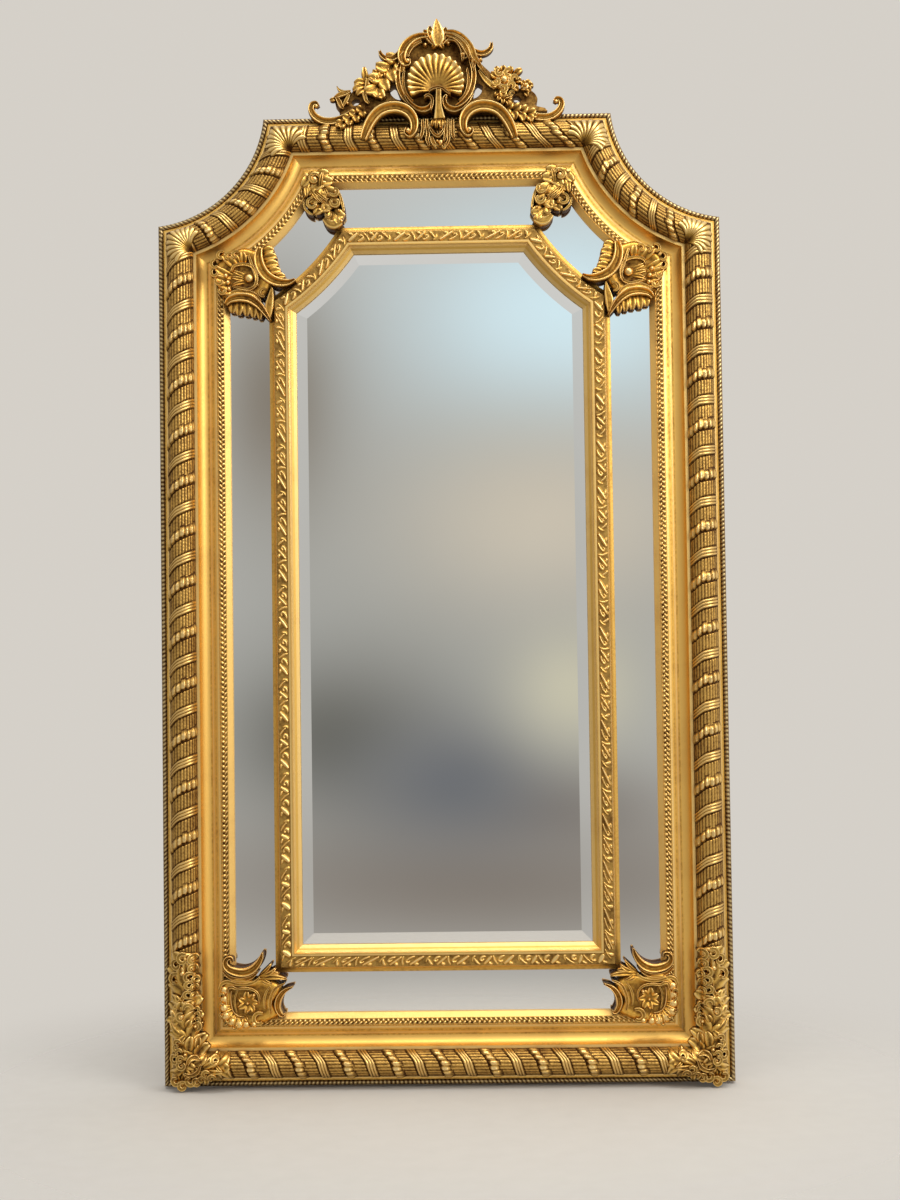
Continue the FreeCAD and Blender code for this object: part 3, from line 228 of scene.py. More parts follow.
# Levels across the outer section by inset: the low ones give the brown wash with painted shade in the quirks
# and at the outer edge, and the ones near one give painted highlights on the fillets.
OUTER_SHADE_AND_HIGHLIGHT_LEVELS = [
    (0.000, 0.25), (0.010, 0.25), (0.0135, 0.30), (0.0142, 1.00), (0.0165, 1.00), (0.0182, 0.10),
    (0.0685, 0.10), (0.0695, 1.00), (0.0735, 1.00), (0.0752, 0.30), (0.078, 0.60), (0.0915, 0.66),
    (0.0930, 0.20), (0.0955, 0.20), (0.0968, 1.00), (0.0990, 1.00), (0.1000, 0.50), (0.1035, 0.24),
    (0.1065, 0.58), (0.1082, 1.00), (0.1105, 1.00), (0.1125, 0.15), (0.1255, 0.15), (0.1265, 0.80),
    (0.134, 0.80), (0.140, 0.55),
]
outer_gilding = gilding("burnished_gilding", LEAF_GOLD, OCHRE_WASH_AND_SHADE, 0.42, 1.1, OUTER_SHADE_AND_HIGHLIGHT_LEVELS, 0.18)
outer_lengths = ["left_stile", "right_stile", "left_shoulder_rail", "right_shoulder_rail", "top_rail",
                 "bottom_rail"]
finish_nodes(outer_lengths, outer_gilding)


# Rope edge: a cast composition cord of tight twisted strands in the outermost rebate, laid in
# six lengths, mitred at the corners and glued. It is painted darker than the mouldings, as painted shade.
ROPE = {"inset": 0.0055, "half": 0.0055, "crown": 0.0080, "seat": 0.026, "pitch": 0.0080}
CARVED_GOLD = (0.66, 0.385, 0.095, 1)
# Dark brown wash for the hollows of the carvings, which also stands for painted shade in them.
UMBER_WASH_AND_SHADE = (0.075, 0.027, 0.004, 1)


def outline_run(member, inset):
    """One length of an outline at an inset, clockwise from the front, and the slopes of its mitres."""
    side, top = OUTLINE["half_width"] - inset, OUTLINE["half_height"] - inset
    reach = OUTLINE["arc_r"] + inset
    near = OUTLINE["arc_x"] - side
    leg = math.sqrt(reach * reach - near * near)
    low, high = OUTLINE["arc_z"] - leg, OUTLINE["arc_x"] - leg
    lean = math.asin(near / reach)
    skew = math.tan(math.pi / 4 - lean / 2)
    if member == "left":
        return [(-side, -top), (-side, low)], (1.0, skew)
    if member == "right":
        return [(side, low), (side, -top)], (skew, 1.0)
    if member == "top":
        return [(-high, top), (high, top)], (skew, skew)
    if member == "bottom":
        return [(side, -top), (-side, -top)], (1.0, 1.0)
    points = []
    for step in range(49):
        turn = lean + (math.pi / 2 - 2 * lean) * step / 48
        across, up = OUTLINE["arc_x"] - reach * math.sin(turn), OUTLINE["arc_z"] - reach * math.cos(turn)
        points.append((-across, up))
    if member == "right_shoulder":
        points = [(-across, up) for across, up in reversed(points)]
    return points, (skew, skew)


def make_laid_strip():
    """Copies of a carved unit in a row, bent along a path, with slanted ends where the lengths meet."""
    group = bpy.data.node_groups.new("laid_strip", "GeometryNodeTree")
    for label, kind in (
        ("Unit", "Object"), ("Path", "Object"), ("Count", "Int"), ("Pitch", "Float"), ("Lead", "Float"),
        ("Run", "Float"), ("First Slope", "Float"), ("Last Slope", "Float"), ("Finish", "Material"),
    ):
        group.interface.new_socket(label, in_out="INPUT", socket_type="NodeSocket" + kind)
    group.interface.new_socket("Strip", in_out="OUTPUT", socket_type="NodeSocketGeometry")
    size = group.nodes.new("NodeGroupInput").outputs
    unit = put(group, "GeometryNodeObjectInfo", {"Object": size["Unit"]}).outputs["Geometry"]
    path = put(group, "GeometryNodeObjectInfo", {"Object": size["Path"]}).outputs["Geometry"]
    step = put(group, "ShaderNodeCombineXYZ", {0: size["Pitch"]}).outputs[0]
    row = put(group, "GeometryNodeMeshLine", {"Count": size["Count"], "Offset": step})
    copies = put(group, "GeometryNodeInstanceOnPoints", {"Points": row.outputs[0], "Instance": unit})
    whole = put(group, "GeometryNodeRealizeInstances", {0: copies.outputs[0]}).outputs[0]
    whole = put(group, "GeometryNodeMergeByDistance", {"Geometry": whole, "Distance": 0.00002}).outputs[0]
    here = put(group, "GeometryNodeInputPosition").outputs[0]
    spot = put(group, "ShaderNodeSeparateXYZ", {0: here}).outputs
    length = sum_of(group, "MULTIPLY", size["Count"], size["Pitch"])
    share = sum_of(group, "DIVIDE", spot[0], length)
    both = sum_of(group, "ADD", size["First Slope"], size["Last Slope"])
    span = sum_of(group, "SUBTRACT", size["Run"], sum_of(group, "MULTIPLY", both, spot[1]))
    start = sum_of(group, "ADD", size["Lead"], sum_of(group, "MULTIPLY", size["First Slope"], spot[1]))
    along = sum_of(group, "ADD", start, sum_of(group, "MULTIPLY", share, span))
    curve = put(group, "GeometryNodeSampleCurve", {"Curves": path, "Length": along}, mode="LENGTH").outputs
    front = (0.0, -1.0, 0.0)
    inward = put(group, "ShaderNodeVectorMath", {0: curve["Tangent"], 1: front}, operation="CROSS_PRODUCT")
    aside = put(group, "ShaderNodeVectorMath", {0: inward.outputs[0], "Scale": spot[1]}, operation="SCALE")
    proud = put(group, "ShaderNodeVectorMath", {0: front, "Scale": spot[2]}, operation="SCALE")
    place = put(group, "ShaderNodeVectorMath", {0: curve["Position"], 1: aside.outputs[0]}, operation="ADD")
    place = put(group, "ShaderNodeVectorMath", {0: place.outputs[0], 1: proud.outputs[0]}, operation="ADD")
    bent = put(group, "GeometryNodeSetPosition", {"Geometry": whole, "Position": place.outputs[0]}).outputs[0]
    smooth = put(group, "GeometryNodeSetShadeSmooth", {0: bent}).outputs[0]
    done = put(group, "GeometryNodeSetMaterial", {"Geometry": smooth, "Material": size["Finish"]}).outputs[0]
    group.links.new(done, group.nodes.new("NodeGroupOutput").inputs["Strip"])
    return group


laid_strip = make_laid_strip()


def carved_unit(name, length, along, across, surface):
    """One repeat of a strip: a closed loop of section points at each step, flat behind."""
    verts, faces, relief = [], [], []
    for step in range(along + 1):
        for slot in range(across + 1):
            side, height, level = surface(step / along, slot / across)
            verts.append((length * step / along, side, height))
            relief.append(level)
    ring = across + 1
    for step in range(along):
        for slot in range(ring):
            here, beside = step * ring + slot, step * ring + (slot + 1) % ring
            faces.append((here, beside, beside + ring, here + ring))
    mesh = bpy.data.meshes.new(name)
    mesh.from_pydata(verts, [], faces)
    mesh.attributes.new("relief", "FLOAT", "POINT").data.foreach_set("value", relief)
    unit = bpy.data.objects.new(name, mesh)
    bpy.context.scene.collection.objects.link(unit)
    return unit


def lay_strip(name, unit, pitch, lengths, material):
    """One piece from the unit along one or more lengths: points, depth, slopes at the ends, repeats."""
    whole = bmesh.new()
    for points, depth, slopes, count in lengths:
        ends = [Vector((x, 0, z)) for x, z in points]
        run = sum((b - a).length for a, b in zip(ends, ends[1:]))
        lead = 0.03
        first = ends[0] + (ends[0] - ends[1]).normalized() * lead
        last = ends[-1] + (ends[-1] - ends[-2]).normalized() * lead
        curve = bpy.data.curves.new(name, "CURVE")
        curve.dimensions = "3D"
        line = curve.splines.new("POLY")
        line.points.add(len(ends) + 1)
        for point, place in zip(line.points, [first] + ends + [last]):
            point.co = (place.x, -depth, place.z, 1)
        path = bpy.data.objects.new(name + "_path", curve)
        carrier = bpy.data.objects.new(name + "_carrier", bpy.data.meshes.new(name))
        for item in (path, carrier):
            bpy.context.scene.collection.objects.link(item)
        values = {
            "Unit": unit, "Path": path, "Count": count, "Pitch": pitch, "Lead": lead, "Run": run,
            "First Slope": slopes[0], "Last Slope": slopes[1], "Finish": material,
        }
        maker = carrier.modifiers.new("laid_strip", "NODES")
        maker.node_group = laid_strip
        for socket in laid_strip.interface.items_tree:
            if socket.in_out == "INPUT":
                maker[socket.identifier] = values[socket.name]
        view = bpy.context.evaluated_depsgraph_get()
        made = bpy.data.meshes.new_from_object(carrier.evaluated_get(view), depsgraph=view)
        whole.from_mesh(made)
        for item in (carrier, path):
            bpy.data.objects.remove(item)
    bmesh.ops.holes_fill(whole, edges=[edge for edge in whole.edges if edge.is_boundary])
    bmesh.ops.recalc_face_normals(whole, faces=whole.faces)
    return carved_piece(name, whole, material)


def carved_piece(name, shape, material):
    """Smooth piece from a finished shape, fixed to the mirror."""
    mesh = bpy.data.meshes.new(name)
    shape.to_mesh(mesh)
    shape.free()
    mesh.materials.clear()
    mesh.materials.append(material)
    for face in mesh.polygons:
        face.use_smooth = True
        face.material_index = 0
    piece = bpy.data.objects.new(name, mesh)
    bpy.context.scene.collection.objects.link(piece)
    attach(piece, "mirror")
    return piece


def rope_surface(along, across):
    """Half-round section with strands that cross it on a slant."""
    angle = math.pi * across
    strand = 0.5 + 0.5 * math.cos(2 * math.pi * (along - 0.55 * across))
    swell = 0.91 + 0.09 * math.sqrt(strand)
    height = ROPE["crown"] * math.sin(angle) ** 0.8 * swell
    side = -ROPE["half"] * math.cos(angle) * (0.9 + 0.1 * strand)
    # The level, and with it the brown wash with painted shade, falls between the strands and down the flanks
    # of the cord.
    return side, height, 0.18 + 0.66 * strand * math.sin(angle)


MEMBERS = ("left", "left_shoulder", "top", "right_shoulder", "right", "bottom")


def laid_lengths(strip):
    """Every length of a strip that runs right round the frame."""
    lengths = []
    for member in MEMBERS:
        points, slopes = outline_run(member, strip["inset"])
        run = sum(math.dist(a, b) for a, b in zip(points, points[1:]))
        lengths.append((points, strip["seat"], slopes, round(run / strip["pitch"])))
    return lengths


# Painted shade: the rope's gold is darker and duller, and more heavily toned, than the other gilding.
shaded_rope_gilding = gilding("shaded_rope_gilding", (0.44, 0.325, 0.155, 1), UMBER_WASH_AND_SHADE, 0.66, 0.2)
rope_unit = carved_unit("rope_unit", ROPE["pitch"], 6, 7, rope_surface)
edge_rope = lay_strip("carved_edge_rope", rope_unit, ROPE["pitch"], laid_lengths(ROPE), shaded_rope_gilding)
bpy.data.objects.remove(rope_unit)
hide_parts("edge_rope")


# Bound reeds: the broad half-round of the frame, carved as bundles of reeds in rows of husks, each
# bound by a slanting ribbon of three cords. Six carved lengths are glued on the frame's broad seat.
REEDS = {"inset": 0.0435, "half": 0.0255, "seat": 0.040, "pitch": 0.095, "cord": 0.0050, "husk": 0.0098}


def smooth_step(low, high, value):
    """Soft step from nought to one."""
    share = min(1.0, max(0.0, (value - low) / (high - low)))
    return share * share * (3 - 2 * share)


def reed_surface(tips):
    """Section of a bundle whose husk tips point along the path (+1) or against it (-1)."""
    def surface(along, across):
        angle = math.pi * across
        aside = tips * math.cos(angle)
        sweep = 0.0080 * aside - 0.0170 * max(0.0, -aside - 0.2) ** 1.6
        turn = (along * tips + sweep / REEDS["pitch"]) % 1.0
        arc = REEDS["half"] * angle
        row = int(arc // REEDS["husk"])
        uneven = math.sin(row * 2.4 + 1.1)
        if turn < 0.185:
            cord = abs(math.sin(math.pi * turn * REEDS["pitch"] / REEDS["cord"] * 0.854))
            edge = smooth_step(0.0, 0.02, turn) * smooth_step(0.185, 0.165, turn)
            lift, level = (0.0002 + 0.0014 * cord) * edge, 0.15 + 0.75 * cord * edge
        else:
            fine = abs(math.cos(math.pi * arc / 0.0066)) ** 0.7
            knot = 0.5 + 0.5 * math.sin(turn * 160 + row * 3.1) * math.sin(turn * 67 + arc * 900)
            reed = -0.0030 + 0.0019 * fine + 0.0006 * knot
            lift, level = reed, 0.04 + 0.46 * fine + 0.22 * knot * fine
            spot = abs((arc / REEDS["husk"]) % 1.0 - 0.5) * 2
            tip = 0.672 - 0.045 * spot ** 2.6 + 0.010 * uneven
            start = 0.445 + 0.025 * uneven
            if start < turn < tip:
                swell = math.sqrt(max(0.0, 1 - spot ** 2.0))
                grow = smooth_step(start, 0.56, turn)
                fall = smooth_step(tip, tip - 0.035, turn)
                lift = reed + (0.0003 + 0.0046 * grow * swell) * max(fall, 0.30)
                level = 0.10 + 0.90 * grow * swell * max(fall, 0.5)
            elif tip <= turn < 0.702:
                # Painted shade in the gap under the husk tips.
                lift, level = -0.0042, 0.0
            sunk = max(1 - abs(turn - 0.200) / 0.020, 1 - abs(turn - 0.988) / 0.014, 0.0)
            lift, level = lift - 0.0024 * sunk, level * (1 - 0.95 * sunk)
        foot = math.sin(angle)
        reach = REEDS["half"] + lift * foot ** 0.5
        # Painted shade: the level falls towards the flanks of the half-round.
        level = level * (0.30 + 0.70 * foot ** 0.6)
        return -reach * math.cos(angle), max(0.0, reach * foot), level
    return surface


reed_gilding = gilding("reed_gilding", CARVED_GOLD, UMBER_WASH_AND_SHADE, 0.64, 0.7, None, 0.35)
reed_units = {tips: carved_unit("reed_unit", REEDS["pitch"], 92, 60, reed_surface(tips)) for tips in (1, -1)}
reed_shoulder = outline_run("left_shoulder", REEDS["inset"])[0][4:-4]
reed_side, reed_end = OUTLINE["half_width"] - REEDS["inset"], OUTLINE["half_height"] - REEDS["inset"]
REED_STOPS = {"stile_foot": -0.689, "stile_head": 0.6599, "bottom": 0.412, "top": 0.2667}
REED_SLOPES = {"stile": -0.2126, "top": -0.5317, "shoulder": -0.225}
left_reeds = [(-reed_side, REED_STOPS["stile_foot"]), (-reed_side, REED_STOPS["stile_head"])]
reed_lengths = {
    "left": (left_reeds, (0.0, REED_SLOPES["stile"]), 14, -1),
    "right": ([(-x, z) for x, z in reversed(left_reeds)], (REED_SLOPES["stile"], 0.0), 14, 1),
    "bottom": ([(REED_STOPS["bottom"], -reed_end), (-REED_STOPS["bottom"], -reed_end)], (0.0, 0.0), 9, 1),
    "top": ([(-REED_STOPS["top"], reed_end), (REED_STOPS["top"], reed_end)], (REED_SLOPES["top"],) * 2, 6, 1),
    "left_shoulder": (reed_shoulder, (REED_SLOPES["shoulder"],) * 2, 3, -1),
    "right_shoulder": ([(-x, z) for x, z in reversed(reed_shoulder)], (REED_SLOPES["shoulder"],) * 2, 3, 1),
}
for member, (points, slopes, count, tips) in reed_lengths.items():
    length = [(points, REEDS["seat"], slopes, count)]
    strip = lay_strip("reeds_" + member, reed_units[tips], REEDS["pitch"], length, reed_gilding)
    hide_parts(member + "_torus")
for unit in reed_units.values():
    bpy.data.objects.remove(unit)


# Shoulder shells: palmettes carved over the four mitres of the shoulders, where the bound reeds
# stop. Each is a plain mitred half-round with a fan of feathers that bend away from the joint.
SHELL = {"feathers": 6, "lift": 0.0058, "length": 0.054, "half": 0.0072, "seat": 0.040, "sunk": 0.0012}
PLUME_SECTION = ((-1, 0.0, 0.0), (-0.8, 0.55, 0.35), (-0.45, 0.9, 0.8), (0, 1, 1), (0.45, 0.9, 0.8),
                 (0.8, 0.55, 0.35), (1, 0.0, 0.0))


def inset_at(x, z):
    """How far a place lies inside the outer edge of the frame."""
    reach = math.hypot(abs(x) - OUTLINE["arc_x"], z - OUTLINE["arc_z"]) - OUTLINE["arc_r"]
    return min(OUTLINE["half_width"] - abs(x), OUTLINE["half_height"] - abs(z), reach)


def round_top(x, z):
    """Depth of the plain half-round at a place on the frame."""
    from_middle = abs(inset_at(x, z) - REEDS["inset"])
    return REEDS["seat"] + math.sqrt(max(0.0, REEDS["half"] ** 2 - from_middle ** 2))


def raise_relief(shape, rows, foot, ring=False):
    """Closed relief from rows of x, z, depth and level: carved front, upright walls and a flat back.
    In a ring the last row meets the first, and the first point of every row is the middle."""
    level = shape.verts.layers.float.get("relief") or shape.verts.layers.float.new("relief")
    grid = []
    for row in rows:
        grid.append([shape.verts.new((x, -depth, z)) for x, z, depth, _ in row])
        for vert, (_, _, _, shade) in zip(grid[-1], row):
            vert[level] = shade
    for first, second in zip(grid, grid[1:] + grid[:1] * ring):
        for slot in range(len(first) - 1):
            shape.faces.new((first[slot], second[slot], second[slot + 1], first[slot + 1]))
    border = [row[-1] for row in grid]
    if not ring:
        border = grid[0] + border[1:-1] + grid[-1][::-1] + [row[0] for row in grid[-2:0:-1]]
    feet = [shape.verts.new((vert.co.x, max(vert.co.y, -foot), vert.co.z)) for vert in border]
    for slot, vert in enumerate(border):
        after = (slot + 1) % len(border)
        shape.faces.new((vert, border[after], feet[after], feet[slot]))
    shape.faces.new(feet[::-1])


def carved(name, shape, material, replaced):
    """Finished carving on the mirror, standing for one or more solids."""
    bmesh.ops.remove_doubles(shape, verts=shape.verts, dist=0.000001)
    bmesh.ops.recalc_face_normals(shape, faces=shape.faces)
    piece = carved_piece(name, shape, material)
    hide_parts(*replaced)
    return piece


def carved_pair(name, shape, material, replaced):
    """The left carving and its mirror image on the right."""
    twin = shape.copy()
    for vert in twin.verts:
        vert.co.x = -vert.co.x
    carved("left_" + name, shape, material, ["left_" + node for node in replaced])
    carved("right_" + name, twin, material, ["right_" + node for node in replaced])


def feather(shape, root, heading, bend, length):
    """Rounded plume that starts near a root and bends further towards its tip."""
    x, z = root
    rows = []
    for step in range(15):
        along = step / 14
        angle = heading + bend * along ** 1.6
        x, z = x + length / 14 * math.cos(angle), z + length / 14 * math.sin(angle)
        blunt = math.sqrt(max(0.04, 1 - max(0.0, along * 5 - 4) ** 2))
        half = SHELL["half"] * (0.12 + 0.88 * along ** 0.9) * blunt
        high = SHELL["lift"] * (0.25 + 0.75 * math.sin(math.pi * (0.05 + 0.72 * along)))
        row = []
        bared = 0.15 + 0.85 * smooth_step(0.0, 0.45, along)
        for aside, share, shade in PLUME_SECTION:
            px, pz = x - math.sin(angle) * aside * half, z + math.cos(angle) * aside * half
            row.append((px, pz, round_top(px, pz) - SHELL["sunk"] + high * share, shade * bared))
        rows.append(row)
    raise_relief(shape, rows, SHELL["seat"])


def palmette(shape, root, first, last, mitre):
    """Plain half-round over a mitre, and two halves of a palmette that bend away from the joint."""
    rows = []
    for slot in range(61):
        angle = math.radians(first + (last - first) * slot / 60)
        way = (math.cos(angle), math.sin(angle))
        reach = 0.02
        while inset_at(root[0] + way[0] * reach, root[1] + way[1] * reach) > 0.0186:
            reach += 0.0005
        row = []
        for step in range(21):
            x, z = root[0] + way[0] * reach * step / 20, root[1] + way[1] * reach * step / 20
            groove = math.exp(-((angle - math.radians(mitre)) / 0.03) ** 2)
            shade = 0.30 * (1 - groove) * smooth_step(0.0, 0.5, step / 20)
            row.append((x, z, round_top(x, z) - 0.0015 * groove, shade))
        rows.append(row)
    raise_relief(shape, rows, SHELL["seat"])
    for side, spread in ((1, last - mitre), (-1, mitre - first)):
        for plume in range(SHELL["feathers"]):
            share = plume / (SHELL["feathers"] - 1)
            heading = math.radians(mitre + side * (5 + (spread - 4) * share))
            bend = math.radians(side * (4 + 62 * share ** 1.2))
            length = SHELL["length"] * (1 - 0.30 * share ** 1.4)
            feather(shape, root, heading, bend, length)


shell_gilding = gilding("shell_gilding", (0.62, 0.365, 0.072, 1), UMBER_WASH_AND_SHADE, 0.70, 0.9)
lower_shell, upper_shell = bmesh.new(), bmesh.new()
palmette(lower_shell, (-0.4710, 0.6653), 96, 192, 141.6)
palmette(upper_shell, (-0.2803, 0.8560), 62, 174, 128.4)
carved_pair("lower_palmette", lower_shell, shell_gilding, ["lower_shell"])
carved_pair("upper_palmette", upper_shell, shell_gilding, ["upper_shell"])


# Corner leaves: acanthus clusters over the two bottom mitres, one arm up the stile and one along
# the rail. Overlapping leaves curl off a plain mitred half-round, and the lowest hangs over the edge.
def smooth_line(points, steps=8):
    """Points of an even curve through the given ones."""
    padded = [points[0]] + list(points) + [points[-1]]
    line = []
    for first, second, third, fourth in zip(padded, padded[1:], padded[2:], padded[3:]):
        for step in range(steps):
            t = step / steps
            line.append(tuple(
                0.5 * (2 * b + (c - a) * t + (2 * a - 5 * b + 4 * c - d) * t * t
                       + (3 * b - a - 3 * c + d) * t ** 3)
                for a, b, c, d in zip(first, second, third, fourth)
            ))
    return line + [tuple(points[-1])]


def headings(line):
    """Unit directions along a line of points."""
    ways = []
    for before, after in zip([line[0]] + line, line[1:] + [line[-1]]):
        across, up = after[0] - before[0], after[1] - before[1]
        size = math.hypot(across, up) or 1.0
        ways.append((across / size, up / size))
    return ways


def leaflet(shape, start, end, bow, width, crown, ground, foot, lift=0.0):
    """One gouged lobe of a leaf: a bowed finger with raised rims, a hollow down it and a lifted tip."""
    across, up = end[0] - start[0], end[1] - start[1]
    rows = []
    for step in range(10):
        along = step / 9
        swell = 4 * bow * along * (1 - along)
        half = width * math.sin(math.pi * (0.12 + 0.80 * along)) ** 0.65
        size = math.hypot(across, up)
        row = []
        for aside, share, shade in LOBE_SECTION:
            turned = aside * half / size + swell
            px, pz = start[0] + across * along - up * turned, start[1] + up * along + across * turned
            arch = 0.30 + 0.70 * math.sin(math.pi * (0.06 + 0.78 * along))
            high = crown * share * arch + lift * along * along
            row.append((px, pz, ground(px, pz) + high, shade * (0.45 + 0.55 * along)))
        rows.append(row)
    raise_relief(shape, rows, foot)


LOBE_SECTION = ((-1.0, 0.15, 0.0), (-0.86, 0.74, 0.70), (-0.62, 1.0, 1.0), (-0.30, 0.82, 0.55),
                (0.0, 0.66, 0.25), (0.30, 0.82, 0.55), (0.62, 1.0, 1.0), (0.86, 0.74, 0.70), (1.0, 0.15, 0.0))


def acanthus(shape, spine, width, crown, lobes, ground, foot, curl=0.0, spread=1.0):
    """Leaf of gouged lobes in pairs along a spine, each over the one behind it, and a lobe at the tip."""
    line = smooth_line(spine, 12)
    ways = headings(line)
    reach = sum(math.dist(a, b) for a, b in zip(line, line[1:]))
    for pair in range(lobes):
        share = (pair + 0.1) / (lobes + 0.35)
        spot = round(share * (len(line) - 1))
        (x, z), way = line[spot], ways[spot]
        size = width * (0.62 + 0.55 * math.sin(math.pi * (0.25 + 0.62 * share)))
        turn = math.radians((64 - 30 * share) * spread)

        def stepped(px, pz, rise=0.0011 * pair):
            return ground(px, pz) + rise

        for side in (1, -1):
            out = (way[0] * math.cos(turn) - side * way[1] * math.sin(turn),
                   way[1] * math.cos(turn) + side * way[0] * math.sin(turn))
            tip = (x + out[0] * size, z + out[1] * size)
            root = (x - side * way[1] * 0.06 * width, z + side * way[0] * 0.06 * width)
            girth = 0.62 * reach / (lobes + 0.35)
            leaflet(shape, root, tip, -0.13 * side, max(girth, 0.24 * size), crown, stepped, foot,
                    curl * (0.3 + share))
    last, before = line[-1], line[round((lobes - 0.35) / (lobes + 0.35) * (len(line) - 1))]
    leaflet(shape, before, last, 0.0, 0.40 * width, crown * 1.1,
            lambda px, pz: ground(px, pz) + 0.0012 * lobes, foot, curl)


def scroll(shape, spine, widths, heights, ground, foot, hollow=0.5):
    """Moulded scroll along a spine: two raised rims and a hollow between, with a width at each point."""
    joint = [(x, z, half, high) for (x, z), half, high in zip(spine, widths, heights)]
    line = smooth_line(joint, 9)
    profile = ((-1.0, 0.30, 0.10), (-0.92, 0.78, 0.55), (-0.74, 1.0, 1.0), (-0.52, 0.86, 0.55),
               (-0.25, 1 - hollow, 0.25), (0.0, 0.97 - hollow, 0.35), (0.25, 1 - hollow, 0.25),
               (0.52, 0.86, 0.55), (0.74, 1.0, 1.0), (0.92, 0.78, 0.55), (1.0, 0.30, 0.10))
    rows = []
    for (x, z, half, high), way in zip(line, headings(line)):
        row = []
        for aside, share, shade in profile:
            px, pz = x - way[1] * aside * half, z + way[0] * aside * half
            row.append((px, pz, ground(px, pz) + high * share, shade))
        rows.append(row)
    raise_relief(shape, rows, foot)


def knob(shape, x, z, depth, radius, height, shade=0.95):
    """Rounded bead or eye, half sunk."""
    level = shape.verts.layers.float.get("relief") or shape.verts.layers.float.new("relief")
    place = Matrix.Translation((x, -depth, z)) @ Matrix.Rotation(math.pi / 2, 4, "X")
    place = place @ Matrix.Diagonal((radius, radius, height, 1))
    made = bmesh.ops.create_uvsphere(shape, u_segments=16, v_segments=10, radius=1.0, matrix=place)
    for vert in made["verts"]:
        proud = max(0.0, (-vert.co.y - depth) / height)
        vert[level] = 0.1 + (shade - 0.1) * min(1.0, proud * 1.4)


def curl(shape, x, z, radius, start, sweep, width, ground, foot):
    """Lobe that curls round on itself: a tapering hook with a hollow at its middle."""
    spine, widths = [], []
    for step in range(9):
        along = step / 8
        angle = math.radians(start + sweep * along)
        out = radius * (1 - 0.42 * along)
        spine.append((x + out * math.cos(angle), z + out * math.sin(angle)))
        widths.append(width * (0.40 + 0.60 * math.sin(math.pi * (0.12 + 0.76 * along))))
    scroll(shape, spine, widths, [0.0165] * 9, ground, foot, 0.08)


MM = 0.001


def picture_place(crop, across, down):
    """Place on the mirror, at the depth of a crop, of a point in that enlarged crop of the picture."""
    aside = crop["left"] + across / crop["zoom"] - PICTURE["wide"] / 2
    above = PICTURE["tall"] / 2 - crop["top"] - down / crop["zoom"]
    ahead = SIGHT.to_3x3() @ Vector((aside, above, -PICTURE["focal"]))
    reach = (-crop["depth"] - EYE[1]) / ahead.y
    return EYE[0] + reach * ahead.x, EYE[2] + reach * ahead.z


def carve_strokes(shape, ground, foot, crop, eyes=(0.6, 1.0)):
    """Gouge strokes of one ornament: scrolls, leaf lobes, hooked lobes and round eyes, all in points of a
    crop, with their heights in millimetres. An eye's middle and half height are shares of its height."""
    point = PICTURE["point"] / crop["zoom"]
    for spine, widths, high, hollow in crop.get("scrolls", ()):
        scroll(shape, [picture_place(crop, *place) for place in spine], [width * point for width in widths],
               [high * MM] * len(spine), ground, foot, hollow)
    for start, end, bow, width, crown, lift in crop.get("leaflets", ()):
        leaflet(shape, picture_place(crop, *start), picture_place(crop, *end), bow, width * point, crown * MM,
                ground, foot, lift * MM)
    for across, down, radius, start, sweep, width in crop.get("curls", ()):
        x, z = picture_place(crop, across, down)
        curl(shape, x, z, radius * point, start, sweep, width * point, ground, foot)
    for across, down, radius, high in crop.get("knobs", ()):
        x, z = picture_place(crop, across, down)
        knob(shape, x, z, ground(x, z) + eyes[0] * high * MM, radius * point, eyes[1] * high * MM)


def plain_arm(shape, rows):
    """Stretch of plain half-round under the leaves."""
    raise_relief(shape, [[(x, z, round_top(x, z), 0.30) for x, z in row] for row in rows], REEDS["seat"])


corner_leaf = bmesh.new()
arm, rail = [], []
ARM = {"first_inset": 0.0181, "width": 0.0508}
for step in range(25):
    inset = ARM["first_inset"] + ARM["width"] * step / 24
    x, z = -OUTLINE["half_width"] + inset, -OUTLINE["half_height"] + inset
    arm.append([(x, z + (REED_STOPS["stile_foot"] - z) * up / 30) for up in range(31)])
    rail.append([(x + (-REED_STOPS["bottom"] - x) * out / 20, z) for out in range(21)])
plain_arm(corner_leaf, arm)
plain_arm(corner_leaf, rail)
LEAF_FOOT = 0.040


def off_round(x, z):
    """Ground of a leaf that follows the half-round and falls off its sides."""
    return max(0.046, round_top(x, z) - 0.002)


CORNER_LEAVES = (
    ([(-0.489, -0.800), (-0.494, -0.750), (-0.500, -0.705), (-0.496, -0.674)], 0.030, 0.0060, 5),
    ([(-0.477, -0.866), (-0.486, -0.836), (-0.497, -0.800), (-0.501, -0.757)], 0.034, 0.0080, 5),
    ([(-0.480, -0.878), (-0.462, -0.884), (-0.440, -0.882), (-0.411, -0.880)], 0.030, 0.0080, 4),
    ([(-0.494, -0.866), (-0.498, -0.882), (-0.502, -0.898), (-0.504, -0.916)], 0.024, 0.0075, 3),
)
for spine, width, crown, lobes in CORNER_LEAVES:
    acanthus(corner_leaf, spine, width, crown, lobes, off_round, LEAF_FOOT, 0.002)


def on_leaves(x, z):
    """Ground of the curls that lie over the leaves."""
    return off_round(x, z) + 0.0035


